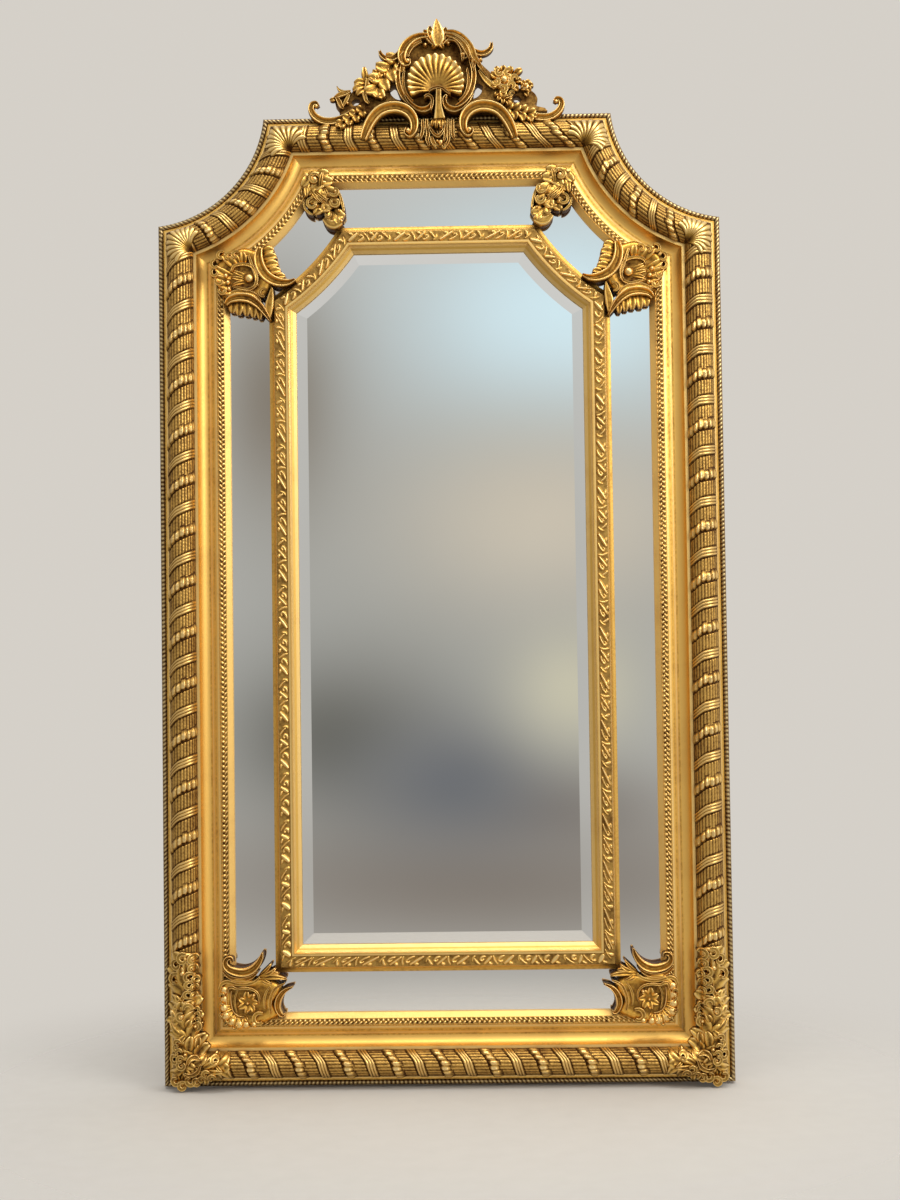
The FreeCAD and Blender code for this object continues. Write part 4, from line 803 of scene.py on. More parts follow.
CORNER_CURLS = [
    (430, 250, 45, -20, 220, 15), (360, 345, 36, 60, 250, 15), (520, 270, 24, -60, 200, 11),
    (525, 330, 24, -60, 200, 11), (525, 395, 28, -60, 200, 12), (520, 455, 40, -90, 200, 17),
    (320, 640, 34, 30, 260, 14), (310, 695, 32, 60, 260, 14), (335, 735, 30, 0, 260, 13),
    (285, 825, 40, 60, 280, 16), (355, 820, 34, 30, 260, 14), (368, 880, 42, 90, 320, 14),
    (300, 1080, 44, 80, 280, 16), (365, 1135, 40, 60, 300, 16), (460, 1080, 46, 100, 280, 17),
    (530, 1090, 40, 60, 260, 16), (590, 1060, 34, 30, 240, 14), (700, 1040, 36, 0, 260, 15),
    (640, 985, 34, 30, 240, 14), (735, 830, 36, 20, 240, 15),
]
CURL_SWELL = {"radius": 1.2, "width": 1.6}
CORNER_STROKES = {
    "left": 150, "top": 985, "zoom": 11.2, "depth": 0.062,
    "scrolls": [
        ([(430, 885), (450, 830), (500, 805), (570, 830)], [14, 30, 34, 10], 10, 0.3),
        ([(385, 975), (460, 1005), (540, 965), (580, 880)], [10, 24, 26, 10], 10, 0.35),
        ([(240, 470), (260, 350), (300, 230), (380, 130), (400, 20)], [10, 26, 30, 26, 10], 9, 0.35),
    ],
    "leaflets": [
        ((600, 930), (760, 850), 0.05, 40, 10, 4), ((620, 950), (820, 960), -0.05, 36, 10, 4),
        ((640, 900), (700, 800), 0.05, 36, 10, 4), ((740, 890), (820, 960), 0.0, 22, 10, 3),
        ((560, 960), (690, 1060), -0.05, 34, 10, 3), ((330, 420), (240, 280), 0.08, 40, 9, 4),
        ((360, 560), (225, 430), 0.08, 40, 9, 4), ((380, 200), (290, 110), 0.08, 40, 9, 4),
        ((420, 470), (470, 380), 0.05, 44, 11, 5), ((300, 1000), (300, 1140), 0.03, 40, 9, 3),
        ((380, 1010), (370, 1165), 0.03, 42, 9, 3), ((460, 1010), (465, 1130), 0.02, 42, 9, 3),
        ((540, 1000), (545, 1125), -0.03, 38, 9, 3), ((400, 560), (300, 640), 0.05, 36, 9, 4),
        ((440, 740), (470, 570), 0.06, 60, 8, 3), ((520, 720), (540, 590), -0.06, 44, 8, 3),
    ],
    "curls": [(across, down, CURL_SWELL["radius"] * radius, start, sweep, CURL_SWELL["width"] * width)
              for across, down, radius, start, sweep, width in CORNER_CURLS],
    "knobs": [(250, 300, 28, 9), (510, 460, 26, 9), (410, 760, 24, 10), (368, 880, 18, 9)],
}
carve_strokes(corner_leaf, on_leaves, LEAF_FOOT, CORNER_STROKES)
CORNER_TOP_STROKES = {
    "left": 150, "top": 880, "zoom": 7.467, "depth": 0.062,
    "scrolls": [([(215, 690), (175, 700), (152, 735), (165, 765), (195, 760)], [10, 16, 18, 14, 8], 13, 0.1)],
    "leaflets": [
        ((262, 780), (232, 640), 0.06, 46, 9, 5), ((300, 700), (270, 605), 0.05, 38, 9, 4),
        ((232, 900), (160, 862), 0.06, 32, 8, 4), ((232, 960), (155, 985), 0.06, 34, 8, 4),
        ((215, 1040), (165, 1062), 0.05, 30, 8, 4),
    ],
    "curls": [
        (255, 580, 40, 60, 280, 18), (205, 625, 36, 90, 270, 17), (330, 590, 36, 30, 260, 17),
        (325, 660, 32, 0, 260, 15), (300, 720, 36, 30, 250, 16), (345, 740, 26, 0, 250, 13),
        (300, 780, 30, 40, 250, 15), (335, 800, 26, 0, 250, 13), (290, 850, 28, 30, 250, 14),
        (335, 860, 24, 0, 250, 12),
    ],
    "knobs": [(250, 690, 22, 8), (330, 700, 16, 8), (240, 1010, 24, 9)],
}
carve_strokes(corner_leaf, on_leaves, LEAF_FOOT, CORNER_TOP_STROKES)
leaf_gilding = gilding("leaf_gilding", (0.76, 0.46, 0.105, 1), UMBER_WASH_AND_SHADE, 0.60, 0.9)
carved_pair("corner_acanthus", corner_leaf, leaf_gilding, ["corner_leaf"])


# Bead course: a narrow cast strip of slanting leaf tips, let into the rebate beside the glass.
BEADS = {"inset": 0.119, "half": 0.007, "crown": 0.0040, "seat": 0.028, "pitch": 0.0094}


def bead_surface(along, across):
    """Flat strip with two slanting leaf tips to a repeat, one on each side of its middle."""
    if across in (0, 1):
        return (2 * across - 1) * BEADS["half"], 0.0, 0.1
    side = (across - 0.5) * 2.4 * BEADS["half"]
    swell = 0.0
    for tip, turn in ((0.28, 0.55), (0.78, -0.55)):
        off_side = side - math.copysign(0.0024, turn)
        slanted = ((along - tip + 1.5) % 1 - 0.5) * BEADS["pitch"] - turn * off_side
        off = math.hypot(slanted / 0.0030, off_side / 0.0031)
        swell = max(swell, math.sqrt(max(0.0, 1 - off * off)))
    off = abs(side) / BEADS["half"]
    rim = smooth_step(0.72, 0.86, off) * smooth_step(1.0, 0.93, off)
    return side, BEADS["crown"] * max(0.12, 0.95 * swell, 0.55 * rim), max(swell, 0.75 * rim, 0.22)


bead_gilding = gilding("bead_gilding", (0.80, 0.49, 0.125, 1), UMBER_WASH_AND_SHADE, 0.64, 0.4)
bead_unit = carved_unit("bead_unit", BEADS["pitch"], 9, 14, bead_surface)
bead_course = lay_strip("carved_bead_course", bead_unit, BEADS["pitch"], laid_lengths(BEADS), bead_gilding)
bpy.data.objects.remove(bead_unit)
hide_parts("bead_course")


# Mirrors: six narrow parclose plates and the bevelled centre plate, float glass silvered behind.
# They reflect the room, with a faint haze where the silvering has aged.
def silvered(name, haze):
    """Silvered plate with a faintly uneven polish."""
    material = bpy.data.materials.new(name)
    material.use_nodes = True
    tree = material.node_tree
    shader = tree.nodes["Principled BSDF"]
    shader.inputs["Metallic"].default_value = 1.0
    place = put(tree, "ShaderNodeTexCoord").outputs["Object"]
    cloud = put(tree, "ShaderNodeTexNoise", {"Vector": place, "Scale": 3.5, "Detail": 3.0}).outputs[0]
    share = sum_of(tree, "MULTIPLY", cloud, haze, True)
    tint = blended(tree, share, (0.955, 0.96, 0.955, 1), (0.86, 0.85, 0.83, 1))
    tree.links.new(tint, shader.inputs["Base Color"])
    rough = sum_of(tree, "ADD", sum_of(tree, "MULTIPLY", cloud, 0.03), 0.012)
    tree.links.new(rough, shader.inputs["Roughness"])
    return material


mirror_plates = ["centre_mirror", "top_parclose_mirror", "bottom_parclose_mirror"]
for side in ("left", "right"):
    mirror_plates += [side + "_parclose_mirror", side + "_shoulder_parclose_mirror"]
finish_nodes(mirror_plates, silvered("silvered_glass", 0.5))


# Inner frame: six mitred lengths of a smaller moulding that hold the centre plate and lap the
# parcloses, with a hollow outside, a pressed strip of running foliage on top and fillets inside.
# Levels across the inner section by inset: the low ones give the wash with painted shade in its quirks, and
# the high ones give painted highlights on its fillets.
INNER_SHADE_AND_HIGHLIGHT_LEVELS = [
    (0.2050, 0.30), (0.2120, 0.35), (0.2160, 0.48), (0.2205, 0.40), (0.2218, 0.95), (0.2238, 0.95),
    (0.2245, 0.10), (0.2445, 0.10), (0.2452, 0.95), (0.2478, 0.95), (0.2484, 0.35), (0.2500, 0.85),
    (0.2520, 0.95), (0.2550, 0.55), (0.2572, 0.45), (0.2580, 0.90), (0.2640, 0.95), (0.2700, 0.60),
]
inner_gilding = gilding("inner_gilding", (0.70, 0.425, 0.10, 1), OCHRE_WASH_AND_SHADE, 0.46, 0.8, INNER_SHADE_AND_HIGHLIGHT_LEVELS, 0.18)
inner_lengths = ["inner_bottom", "inner_left", "inner_right", "inner_left_shoulder", "inner_right_shoulder",
                 "inner_top"]
finish_nodes(inner_lengths, inner_gilding)
FOLIAGE = {"inset": 0.2345, "half": 0.0105, "crown": 0.0050, "seat": 0.036, "pitch": 0.0890, "overlap": 0.03}
FOLIAGE_STROKES = (
    ((0.004, 0.0070), (0.014, 0.0010), (0.026, -0.0065), 0.0034, 1.00),
    ((0.022, 0.0075), (0.031, 0.0055), (0.036, -0.0010), 0.0026, 0.80),
    ((0.036, -0.0010), (0.033, -0.0055), (0.029, -0.0020), 0.0020, 0.80),
    ((0.040, -0.0070), (0.045, 0.0005), (0.043, 0.0068), 0.0026, 0.75),
    ((0.048, 0.0060), (0.055, 0.0000), (0.064, -0.0068), 0.0030, 0.90),
    ((0.060, 0.0065), (0.068, 0.0060), (0.071, 0.0000), 0.0026, 0.85),
    ((0.071, 0.0000), (0.067, -0.0035), (0.064, 0.0010), 0.0020, 0.80),
    ((0.074, -0.0072), (0.079, -0.0040), (0.081, 0.0015), 0.0027, 0.80),
    ((0.080, 0.0070), (0.085, 0.0045), (0.086, -0.0020), 0.0022, 0.65),
    ((0.051, -0.0072), (0.053, -0.0064), (0.055, -0.0060), 0.0030, 0.85),
    ((0.012, -0.0066), (0.015, -0.0060), (0.017, -0.0066), 0.0028, 0.75),
)


def stroke_height(stroke, along, side):
    """Height of one bent leaf or curl at a place in the repeat."""
    first, second, third, width, top = stroke
    best = 0.0
    for step in range(13):
        t = step / 12
        px = (1 - t) ** 2 * first[0] + 2 * t * (1 - t) * second[0] + t * t * third[0]
        py = (1 - t) ** 2 * first[1] + 2 * t * (1 - t) * second[1] + t * t * third[1]
        reach = width * (0.45 + 0.55 * math.sin(math.pi * (0.15 + 0.75 * t)))
        off = math.hypot(along - px, side - py) / reach
        best = max(best, top * math.sqrt(max(0.0, 1 - off * off)))
    return best


def foliage_surface(along, across):
    """Running foliage pressed in low relief on a flat ground."""
    if across in (0, 1):
        return (2 * across - 1) * FOLIAGE["half"], 0.0, 0.1
    side = (across - 0.5) * 2.2 * FOLIAGE["half"]
    place = along * FOLIAGE["pitch"]
    high = 0.0
    for stroke in FOLIAGE_STROKES:
        before = stroke[0][0] - FOLIAGE["overlap"]
        high = max(high, stroke_height(stroke, (place - before) % FOLIAGE["pitch"] + before, side))
    return side, FOLIAGE["crown"] * max(0.10, high), 0.20 + 0.80 * high


# The foliage ground gets a lighter brown wash with painted shade.
foliage_gilding = gilding("foliage_gilding", (0.82, 0.51, 0.13, 1), (0.17, 0.085, 0.018, 1), 0.58, 0.3)
foliage_unit = carved_unit("foliage_unit", FOLIAGE["pitch"], 84, 22, foliage_surface)
foliage = lay_strip("pressed_foliage", foliage_unit, FOLIAGE["pitch"], laid_lengths(FOLIAGE), foliage_gilding)
bpy.data.objects.remove(foliage_unit)
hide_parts("inner_foliage")


# Cartouches: rocaille shells in carved wood over the joints of the parclose plates at the bottom
# corners and the shoulders. Each has scrolled crescents round the glass and a scalloped rim outside.
ROCAILLE_SEAT, ROCAILLE_FOOT = 0.0345, 0.0185


def rocaille(px, pz):
    """Flat ground of the cartouches, on the bead course."""
    return ROCAILLE_SEAT


def shield(shape, outline, centre, crown):
    """Swelling plate inside an outline: a raised rim, a hollow and a boss in the middle."""
    closed = smooth_line(list(outline) + [outline[0]], 6)[:-1]
    rows = []
    for x, z in closed:
        row = []
        for step in range(10):
            out = step / 9
            px, pz = centre[0] + (x - centre[0]) * out, centre[1] + (z - centre[1]) * out
            rim = math.exp(-((out - 0.84) / 0.13) ** 2)
            boss = math.exp(-(out / 0.30) ** 2)
            high = crown * (0.42 + 0.42 * rim + 0.40 * boss) * (out < 0.99)
            row.append((px, pz, ROCAILLE_SEAT + high, 0.22 + 0.4 * rim))
        rows.append(row)
    raise_relief(shape, rows, ROCAILLE_FOOT, ring=True)


bottom_cartouche = bmesh.new()
shield(bottom_cartouche, [
    (-0.418, -0.722), (-0.400, -0.716), (-0.370, -0.722), (-0.345, -0.720), (-0.322, -0.730),
    (-0.316, -0.746), (-0.330, -0.768), (-0.322, -0.790), (-0.345, -0.803), (-0.368, -0.808),
    (-0.390, -0.811), (-0.408, -0.802), (-0.422, -0.790), (-0.430, -0.772), (-0.425, -0.750), (-0.429, -0.735),
], (-0.380, -0.766), 0.009)
FAN_ROOT = (785, 1160)
FAN_TIPS = [((770, 1010), 44), ((885, 1050), 38), ((930, 1170), 38), ((870, 1290), 40), ((760, 1310), 40),
            ((655, 1240), 40), ((665, 1110), 40)]
FAN = {"first_share": 0.15, "last_share": 1.08, "bow": 0.08, "swell": 1.35, "crown": 9, "lift": 4}


def fan_lobe(tip, width):
    """Lobe of the fan in the shell, from near its root to a little past the given tip."""
    ends = [tuple(root + FAN[share] * (end - root) for root, end in zip(FAN_ROOT, tip))
            for share in ("first_share", "last_share")]
    return ends[0], ends[1], FAN["bow"], FAN["swell"] * width, FAN["crown"], FAN["lift"]


BOTTOM_STROKES = {
    "left": 195, "top": 925, "zoom": 14.93, "depth": 0.046,
    "scrolls": [
        ([(560, 560), (540, 500), (480, 505), (450, 570), (490, 650), (590, 700), (720, 715), (840, 675),
          (930, 590), (985, 490), (1000, 420)], [16, 26, 32, 42, 54, 62, 66, 64, 52, 34, 14], 15, 0.5),
        ([(420, 700), (520, 790), (680, 825), (830, 790), (930, 710)], [16, 30, 34, 30, 14], 9.5, 0.6),
        ([(360, 970), (390, 890), (480, 855), (600, 890), (740, 900), (880, 860), (960, 790)],
         [20, 30, 30, 26, 26, 26, 14], 8, 0.1),
        ([(1455, 930), (1340, 985), (1265, 1075), (1232, 1175), (1240, 1265), (1290, 1345), (1340, 1340)],
         [10, 34, 46, 50, 44, 34, 16], 14.5, 0.5),
        ([(1330, 880), (1200, 950), (1140, 1060), (1115, 1190), (1130, 1330)], [12, 24, 28, 28, 14], 11, 0.2),
        ([(1120, 920), (1060, 1010), (1030, 1130), (1040, 1260)], [10, 18, 20, 10], 9.5, 0.1),
        ([(490, 1010), (500, 940), (560, 930), (620, 955), (740, 945), (860, 965), (935, 1025), (960, 1110),
          (940, 1200)], [16, 20, 24, 18, 18, 18, 18, 16, 8], 14, 0.15),
        ([(520, 990), (500, 1090), (505, 1200), (540, 1310), (620, 1380), (730, 1390)],
         [26, 44, 50, 46, 36, 14], 10, 0.45),
        ([(640, 970), (600, 1070), (595, 1190), (625, 1310)], [10, 13, 13, 8], 13, 0.1),
    ],
    "leaflets": [
        ((930, 800), (1350, 805), 0.05, 46, 10, 4), ((960, 780), (1200, 655), -0.08, 36, 11, 4),
        ((960, 760), (1130, 590), -0.06, 30, 11, 3), ((950, 820), (1080, 890), -0.05, 22, 10, 2),
        ((990, 800), (1150, 885), -0.05, 24, 10, 2), ((1040, 720), (1250, 730), 0.04, 34, 10, 3),
    ] + [fan_lobe(tip, width) for tip, width in FAN_TIPS] + [
        ((560, 1230), (385, 1215), 0.06, 34, 10, 4), ((570, 1270), (385, 1350), 0.06, 46, 11, 5),
        ((590, 1310), (470, 1440), 0.05, 46, 11, 5), ((620, 1350), (580, 1535), 0.05, 46, 11, 5),
        ((690, 1370), (690, 1500), -0.05, 46, 11, 4), ((740, 1370), (790, 1440), -0.05, 34, 10, 4),
    ],
    "curls": [
        (960, 1410, 100, 60, 250, 34), (410, 1060, 40, 200, -220, 16), (420, 1160, 32, 100, 220, 14),
        (405, 1340, 36, 120, 250, 15), (500, 1425, 36, 150, 250, 15), (600, 1520, 36, 190, 250, 15),
    ],
    "knobs": [(880, 1045, 34, 12), (790, 1290, 20, 10), (790, 1165, 26, 12), (690, 1490, 26, 9),
              (880, 1480, 36, 11)],
}
carve_strokes(bottom_cartouche, rocaille, ROCAILLE_FOOT, BOTTOM_STROKES)
RIM_LOBES = (
    (-0.4235, -0.7430, 0.0085, 0.007), (-0.4250, -0.7590, 0.0085, 0.007), (-0.4250, -0.7755, 0.0090, 0.008),
    (-0.4215, -0.7905, 0.0095, 0.008), (-0.4105, -0.8015, 0.0095, 0.008), (-0.3965, -0.8070, 0.0095, 0.008),
    (-0.3830, -0.8075, 0.0080, 0.007), (-0.3670, -0.8055, 0.0065, 0.011),
)
for x, z, radius, high in RIM_LOBES:
    knob(bottom_cartouche, x, z, rocaille(x, z) + high * 0.6, radius, high)
rocaille_gilding = gilding("rocaille_gilding", (0.84, 0.47, 0.085, 1), UMBER_WASH_AND_SHADE, 0.62, 1.2)
carved_pair("bottom_rocaille", bottom_cartouche, rocaille_gilding, ["bottom_cartouche"])

shoulder_cartouche = bmesh.new()
shield(shoulder_cartouche, [
    (-0.345, 0.666), (-0.375, 0.674), (-0.402, 0.662), (-0.423, 0.646), (-0.433, 0.628), (-0.426, 0.606),
    (-0.421, 0.586), (-0.404, 0.574), (-0.380, 0.582), (-0.357, 0.574), (-0.337, 0.577), (-0.322, 0.598),
    (-0.320, 0.612), (-0.336, 0.632), (-0.341, 0.650),
], (-0.382, 0.624), 0.009)
SHOULDER_STROKES = {
    "left": 155, "top": 205, "zoom": 9.064, "depth": 0.046,
    "scrolls": [
        ([(950, 385), (935, 470), (960, 570), (1020, 650), (1110, 695), (1200, 700), (1270, 672)],
         [26, 44, 50, 50, 44, 30, 10], 15, 0.5),
        ([(845, 450), (880, 550), (912, 640), (925, 730)], [10, 16, 16, 8], 12.5, 0.1),
        ([(640, 900), (680, 855), (760, 835), (850, 845), (930, 895), (990, 965), (1040, 1040)],
         [18, 34, 42, 44, 38, 26, 10], 15, 0.5),
        ([(640, 820), (730, 785), (830, 785), (910, 815), (955, 865)], [12, 20, 22, 18, 8], 12, 0.15),
        ([(1035, 1010), (1030, 920), (1045, 830), (1058, 740)], [14, 40, 30, 6], 9, 0.03),
        ([(690, 600), (720, 550), (800, 535), (880, 560), (920, 640), (905, 730), (840, 765), (760, 750),
          (700, 735)], [9, 15, 15, 15, 15, 15, 15, 13, 8], 13, 0.15),
    ],
    "leaflets": [
        ((830, 640), (700, 590), 0.03, 22, 9, 2), ((820, 670), (690, 650), 0.02, 22, 9, 2),
        ((820, 690), (700, 720), -0.03, 22, 9, 2), ((700, 640), (540, 560), 0.08, 46, 11, 5),
        ((690, 680), (530, 640), 0.08, 44, 11, 5), ((690, 720), (570, 720), 0.08, 40, 11, 5),
        ((700, 750), (610, 800), 0.06, 40, 11, 5), ((720, 560), (600, 450), -0.06, 46, 11, 5),
        ((760, 540), (690, 440), -0.06, 40, 11, 5), ((800, 530), (790, 425), -0.05, 40, 11, 5),
        ((975, 410), (1068, 395), 0.04, 44, 6, 0), ((975, 470), (1092, 452), 0.04, 46, 6, 0),
        ((985, 535), (1108, 520), 0.04, 46, 6, 0), ((1020, 595), (1130, 582), 0.04, 42, 6, 0),
        ((1085, 640), (1172, 632), 0.04, 32, 6, 0), ((700, 880), (694, 965), 0.04, 44, 6, 0),
        ((755, 865), (752, 985), 0.03, 46, 6, 0), ((822, 868), (824, 992), 0.03, 46, 6, 0),
        ((885, 890), (886, 1005), 0.03, 42, 6, 0), ((940, 940), (944, 1022), 0.03, 32, 6, 0),
    ],
    "curls": [
        (985, 800, 45, 60, 230, 14), (545, 540, 40, 90, 240, 15), (545, 615, 38, 120, 230, 15),
        (585, 690, 36, 150, 230, 15), (615, 775, 36, 160, 230, 15), (600, 460, 38, 60, 240, 15),
        (735, 455, 36, 40, 250, 14), (668, 470, 30, 50, 240, 13),
    ],
    "knobs": [(850, 660, 44, 10), (640, 640, 26, 10), (660, 700, 26, 10), (670, 760, 24, 10)],
}
carve_strokes(shoulder_cartouche, rocaille, ROCAILLE_FOOT, SHOULDER_STROKES)
carved_pair("shoulder_rocaille", shoulder_cartouche, rocaille_gilding, ["shoulder_cartouche"])


# Top leaves: two drooping acanthus clusters over the upper joints of the parcloses, with a bud
# in a ring at the foot of each and curled lobes towards the middle.
top_leaf = bmesh.new()
acanthus(top_leaf, [(-0.250, 0.812), (-0.236, 0.790), (-0.226, 0.760), (-0.222, 0.742)], 0.022, 0.0060, 4,
         rocaille, ROCAILLE_FOOT, 0.002)
acanthus(top_leaf, [(-0.232, 0.818), (-0.220, 0.790), (-0.206, 0.755), (-0.191, 0.716)], 0.022, 0.0065, 5,
         rocaille, ROCAILLE_FOOT, 0.002)


def on_top_leaf(x, z):
    """Ground of the lobes that lie over the drooping leaves."""
    return ROCAILLE_SEAT + 0.003


TOP_LEAF_STROKES = {
    "left": 280, "top": 150, "zoom": 17.42, "depth": 0.050,
    "scrolls": [
        ([(410, 900), (430, 1000), (500, 1080), (570, 1115)], [12, 22, 22, 10], 11, 0.1),
        ([(760, 1180), (860, 1270), (960, 1280), (1070, 1240)], [40, 74, 80, 40], 9, 0.03),
        ([(1005, 680), (1050, 800), (1085, 930), (1106, 1049)], [16, 24, 24, 14], 9, 0.1),
    ],
    "leaflets": [
        ((690, 620), (740, 375), 0.03, 40, 10, 3), ((445, 610), (452, 800), 0.02, 46, 9, 2),
        ((600, 680), (830, 880), -0.03, 30, 12, 3), ((565, 730), (750, 910), -0.03, 30, 12, 3),
        ((530, 680), (690, 900), -0.03, 36, 12, 3), ((760, 640), (830, 800), 0.03, 34, 9, 2),
        ((700, 760), (830, 960), 0.02, 30, 8, 1),
    ],
    "curls": [
        (560, 930, 96, 90, 285, 30), (940, 720, 82, 200, 250, 34), (965, 910, 82, 150, 250, 34),
        (830, 1120, 60, 10, -210, 18), (600, 500, 90, 20, 300, 30),
    ],
    "knobs": [(630, 965, 38, 11), (965, 722, 36, 11), (1020, 1050, 30, 10), (600, 500, 60, 10),
              (550, 436, 20, 12), (632, 440, 20, 12), (1060, 1225, 28, 10)],
}
carve_strokes(top_leaf, on_top_leaf, ROCAILLE_FOOT, TOP_LEAF_STROKES)
carved_pair("top_acanthus", top_leaf, leaf_gilding, ["top_leaf"])


# Crest: a pierced cresting carved from one thick board that stands on the top rail: a scallop
# shell in a ring of scrolls under a leaf finial, with flower sprays, broken arches and horns.
CREST_SEAT, CREST_FOOT = 0.044, 0.042


def crest_face(px, pz):
    """Face of the cresting board."""
    return CREST_SEAT


def proud_of(depth):
    """Flat ground at a depth."""
    return lambda px, pz: depth


def thick_scroll(shape, spine, widths, high, ground=crest_face, hollow=0.45, foot=CREST_FOOT):
    """Scroll of even height on the cresting."""
    scroll(shape, spine, widths, [high] * len(spine), ground, foot, hollow)


def frond(shape, spine, width, crown, lobes, curl=0.004, ground=crest_face, spread=1.0):
    """Leaf on the cresting."""
    acanthus(shape, spine, width, crown, lobes, ground, CREST_FOOT, curl, spread)


def fretted_board(outline, holes, back, front):
    """Board sawn to an outline and pierced, with eased edges."""
    saw = bpy.data.curves.new("fretted_board", "CURVE")
    saw.dimensions = "2D"
    saw.fill_mode = "BOTH"
    saw.extrude = (front - back) / 2 - 0.0015
    saw.bevel_depth = 0.0015
    saw.bevel_resolution = 2
    for points in [outline] + holes:
        loop = saw.splines.new("POLY")
        line = smooth_line(list(points) + [points[0]], 4)[:-1]
        loop.points.add(len(line) - 1)
        loop.use_cyclic_u = True
        for point, (x, z) in zip(loop.points, line):
            point.co = (x, z, 0, 1)
    board = bpy.data.objects.new("fretted_board", saw)
    bpy.context.scene.collection.objects.link(board)
    view = bpy.context.evaluated_depsgraph_get()
    shape = bmesh.new()
    shape.from_mesh(bpy.data.meshes.new_from_object(board.evaluated_get(view)))
    bpy.data.objects.remove(board)
    for vert in shape.verts:
        vert.co = (vert.co.x, -(front + back) / 2 - vert.co.z, vert.co.y)
    bmesh.ops.remove_doubles(shape, verts=shape.verts, dist=0.00001)
    return shape


board_edge = [
    (-0.184, 0.9265), (-0.186, 0.938), (-0.193, 0.950), (-0.184, 0.964), (-0.168, 0.964), (-0.158, 0.972),
    (-0.150, 0.984), (-0.139, 0.995), (-0.124, 0.996), (-0.109, 0.999), (-0.097, 1.009), (-0.085, 1.021),
    (-0.072, 1.034), (-0.061, 1.049), (-0.045, 1.060), (-0.022, 1.067), (0.002, 1.069),
]
board_edge += [(-x, z) for x, z in reversed(board_edge[:-1])]
gap = [(-0.092, 0.976), (-0.081, 0.984), (-0.074, 0.978), (-0.070, 0.966), (-0.064, 0.953), (-0.076, 0.953),
       (-0.087, 0.962)]
slit = [(-0.165, 0.950), (-0.158, 0.958), (-0.150, 0.958), (-0.145, 0.952), (-0.150, 0.944), (-0.160, 0.943)]
holes = [gap, slit, [(-x, z) for x, z in gap], [(-x, z) for x, z in slit]]
board_gilding = gilding("board_gilding", CARVED_GOLD, UMBER_WASH_AND_SHADE, 0.78, 0.6, [(0.0, 0.40), (0.27, 0.40)])
carved("fretted_board", fretted_board(board_edge, holes, 0.014, CREST_SEAT), board_gilding, ["crest_board"])
finish_nodes(["crest_dowels"], board_gilding)

scallop = bmesh.new()
rows = []
for slot in range(171):
    turn = -1 + slot / 85
    angle = math.radians(90 + turn * 106)
    flute = abs(math.sin(math.pi * (turn + 1) / 2 * 17))
    reach = (0.0510 + 0.0165 * math.cos(math.radians(turn * 100))) * (0.965 + 0.035 * flute)
    row = []
    for step in range(22):
        out = 0.10 + 0.90 * step / 21
        x, z = reach * out * math.cos(angle), 0.966 + reach * out * math.sin(angle)
        dish = 0.012 + 0.012 * math.sin(math.pi * (0.12 + 0.66 * out)) + 0.0045 * smooth_step(0.80, 1.0, out)
        ridge = 0.75 + (flute - 0.75) * smooth_step(0.25, 0.65, out)
        shade = (0.05 + 0.75 * ridge) * (0.40 + 0.60 * out) + 0.25 * smooth_step(0.70, 0.95, out)
        rise = dish + 0.0040 * flute * smooth_step(0.25, 0.65, out)
        row.append((x, z, CREST_SEAT + rise, min(1.0, shade)))
    rows.append(row)
raise_relief(scallop, rows, CREST_FOOT)
crest_gilding = gilding("crest_gilding", (0.78, 0.455, 0.095, 1), UMBER_WASH_AND_SHADE, 0.64, 0.9)
carved("scallop_shell", scallop, crest_gilding, ["crest_shell"])

finial = bmesh.new()
LOW_EYES = (0.4, 0.6)
FINIAL_STROKES = {
    "left": 340, "top": 3, "zoom": 7.84, "depth": 0.062,
    "scrolls": [
        ([(745, 325), (712, 275), (688, 238), (652, 208)], [14, 34, 36, 6], 17, 0.3),
        ([(735, 300), (712, 245), (705, 205), (704, 176)], [14, 30, 28, 5], 18.5, 0.3),
        ([(785, 325), (815, 275), (848, 245), (884, 236)], [14, 34, 34, 6], 17, 0.3),
        ([(790, 300), (814, 248), (824, 212), (830, 186)], [14, 30, 28, 5], 18.5, 0.3),
    ],
    "leaflets": [((760, 290), (722, 345), 0.05, 22, 19, 2), ((775, 290), (812, 345), -0.05, 22, 19, 2)],
    "knobs": [(666, 318, 19, 17), (848, 305, 19, 17)],
}
carve_strokes(finial, crest_face, CREST_FOOT, FINIAL_STROKES, LOW_EYES)
FINIAL_TIP = {"left": 340, "top": 3, "zoom": 7.84, "depth": 0.051}
leaning_leaf = [picture_place(FINIAL_STROKES, *place) for place in ((766, 335), (766, 285), (765, 235))]
leaning_leaf += [picture_place(FINIAL_TIP, *place) for place in ((760, 180), (755, 120))]
scroll(finial, leaning_leaf, [0.0060, 0.0135, 0.0150, 0.0085, 0.0010],
       [0.0215, 0.0215, 0.0195, 0.0130, 0.0060], crest_face, CREST_FOOT, 0.2)
carved("finial_leaf", finial, crest_gilding, ["crest_finial"])

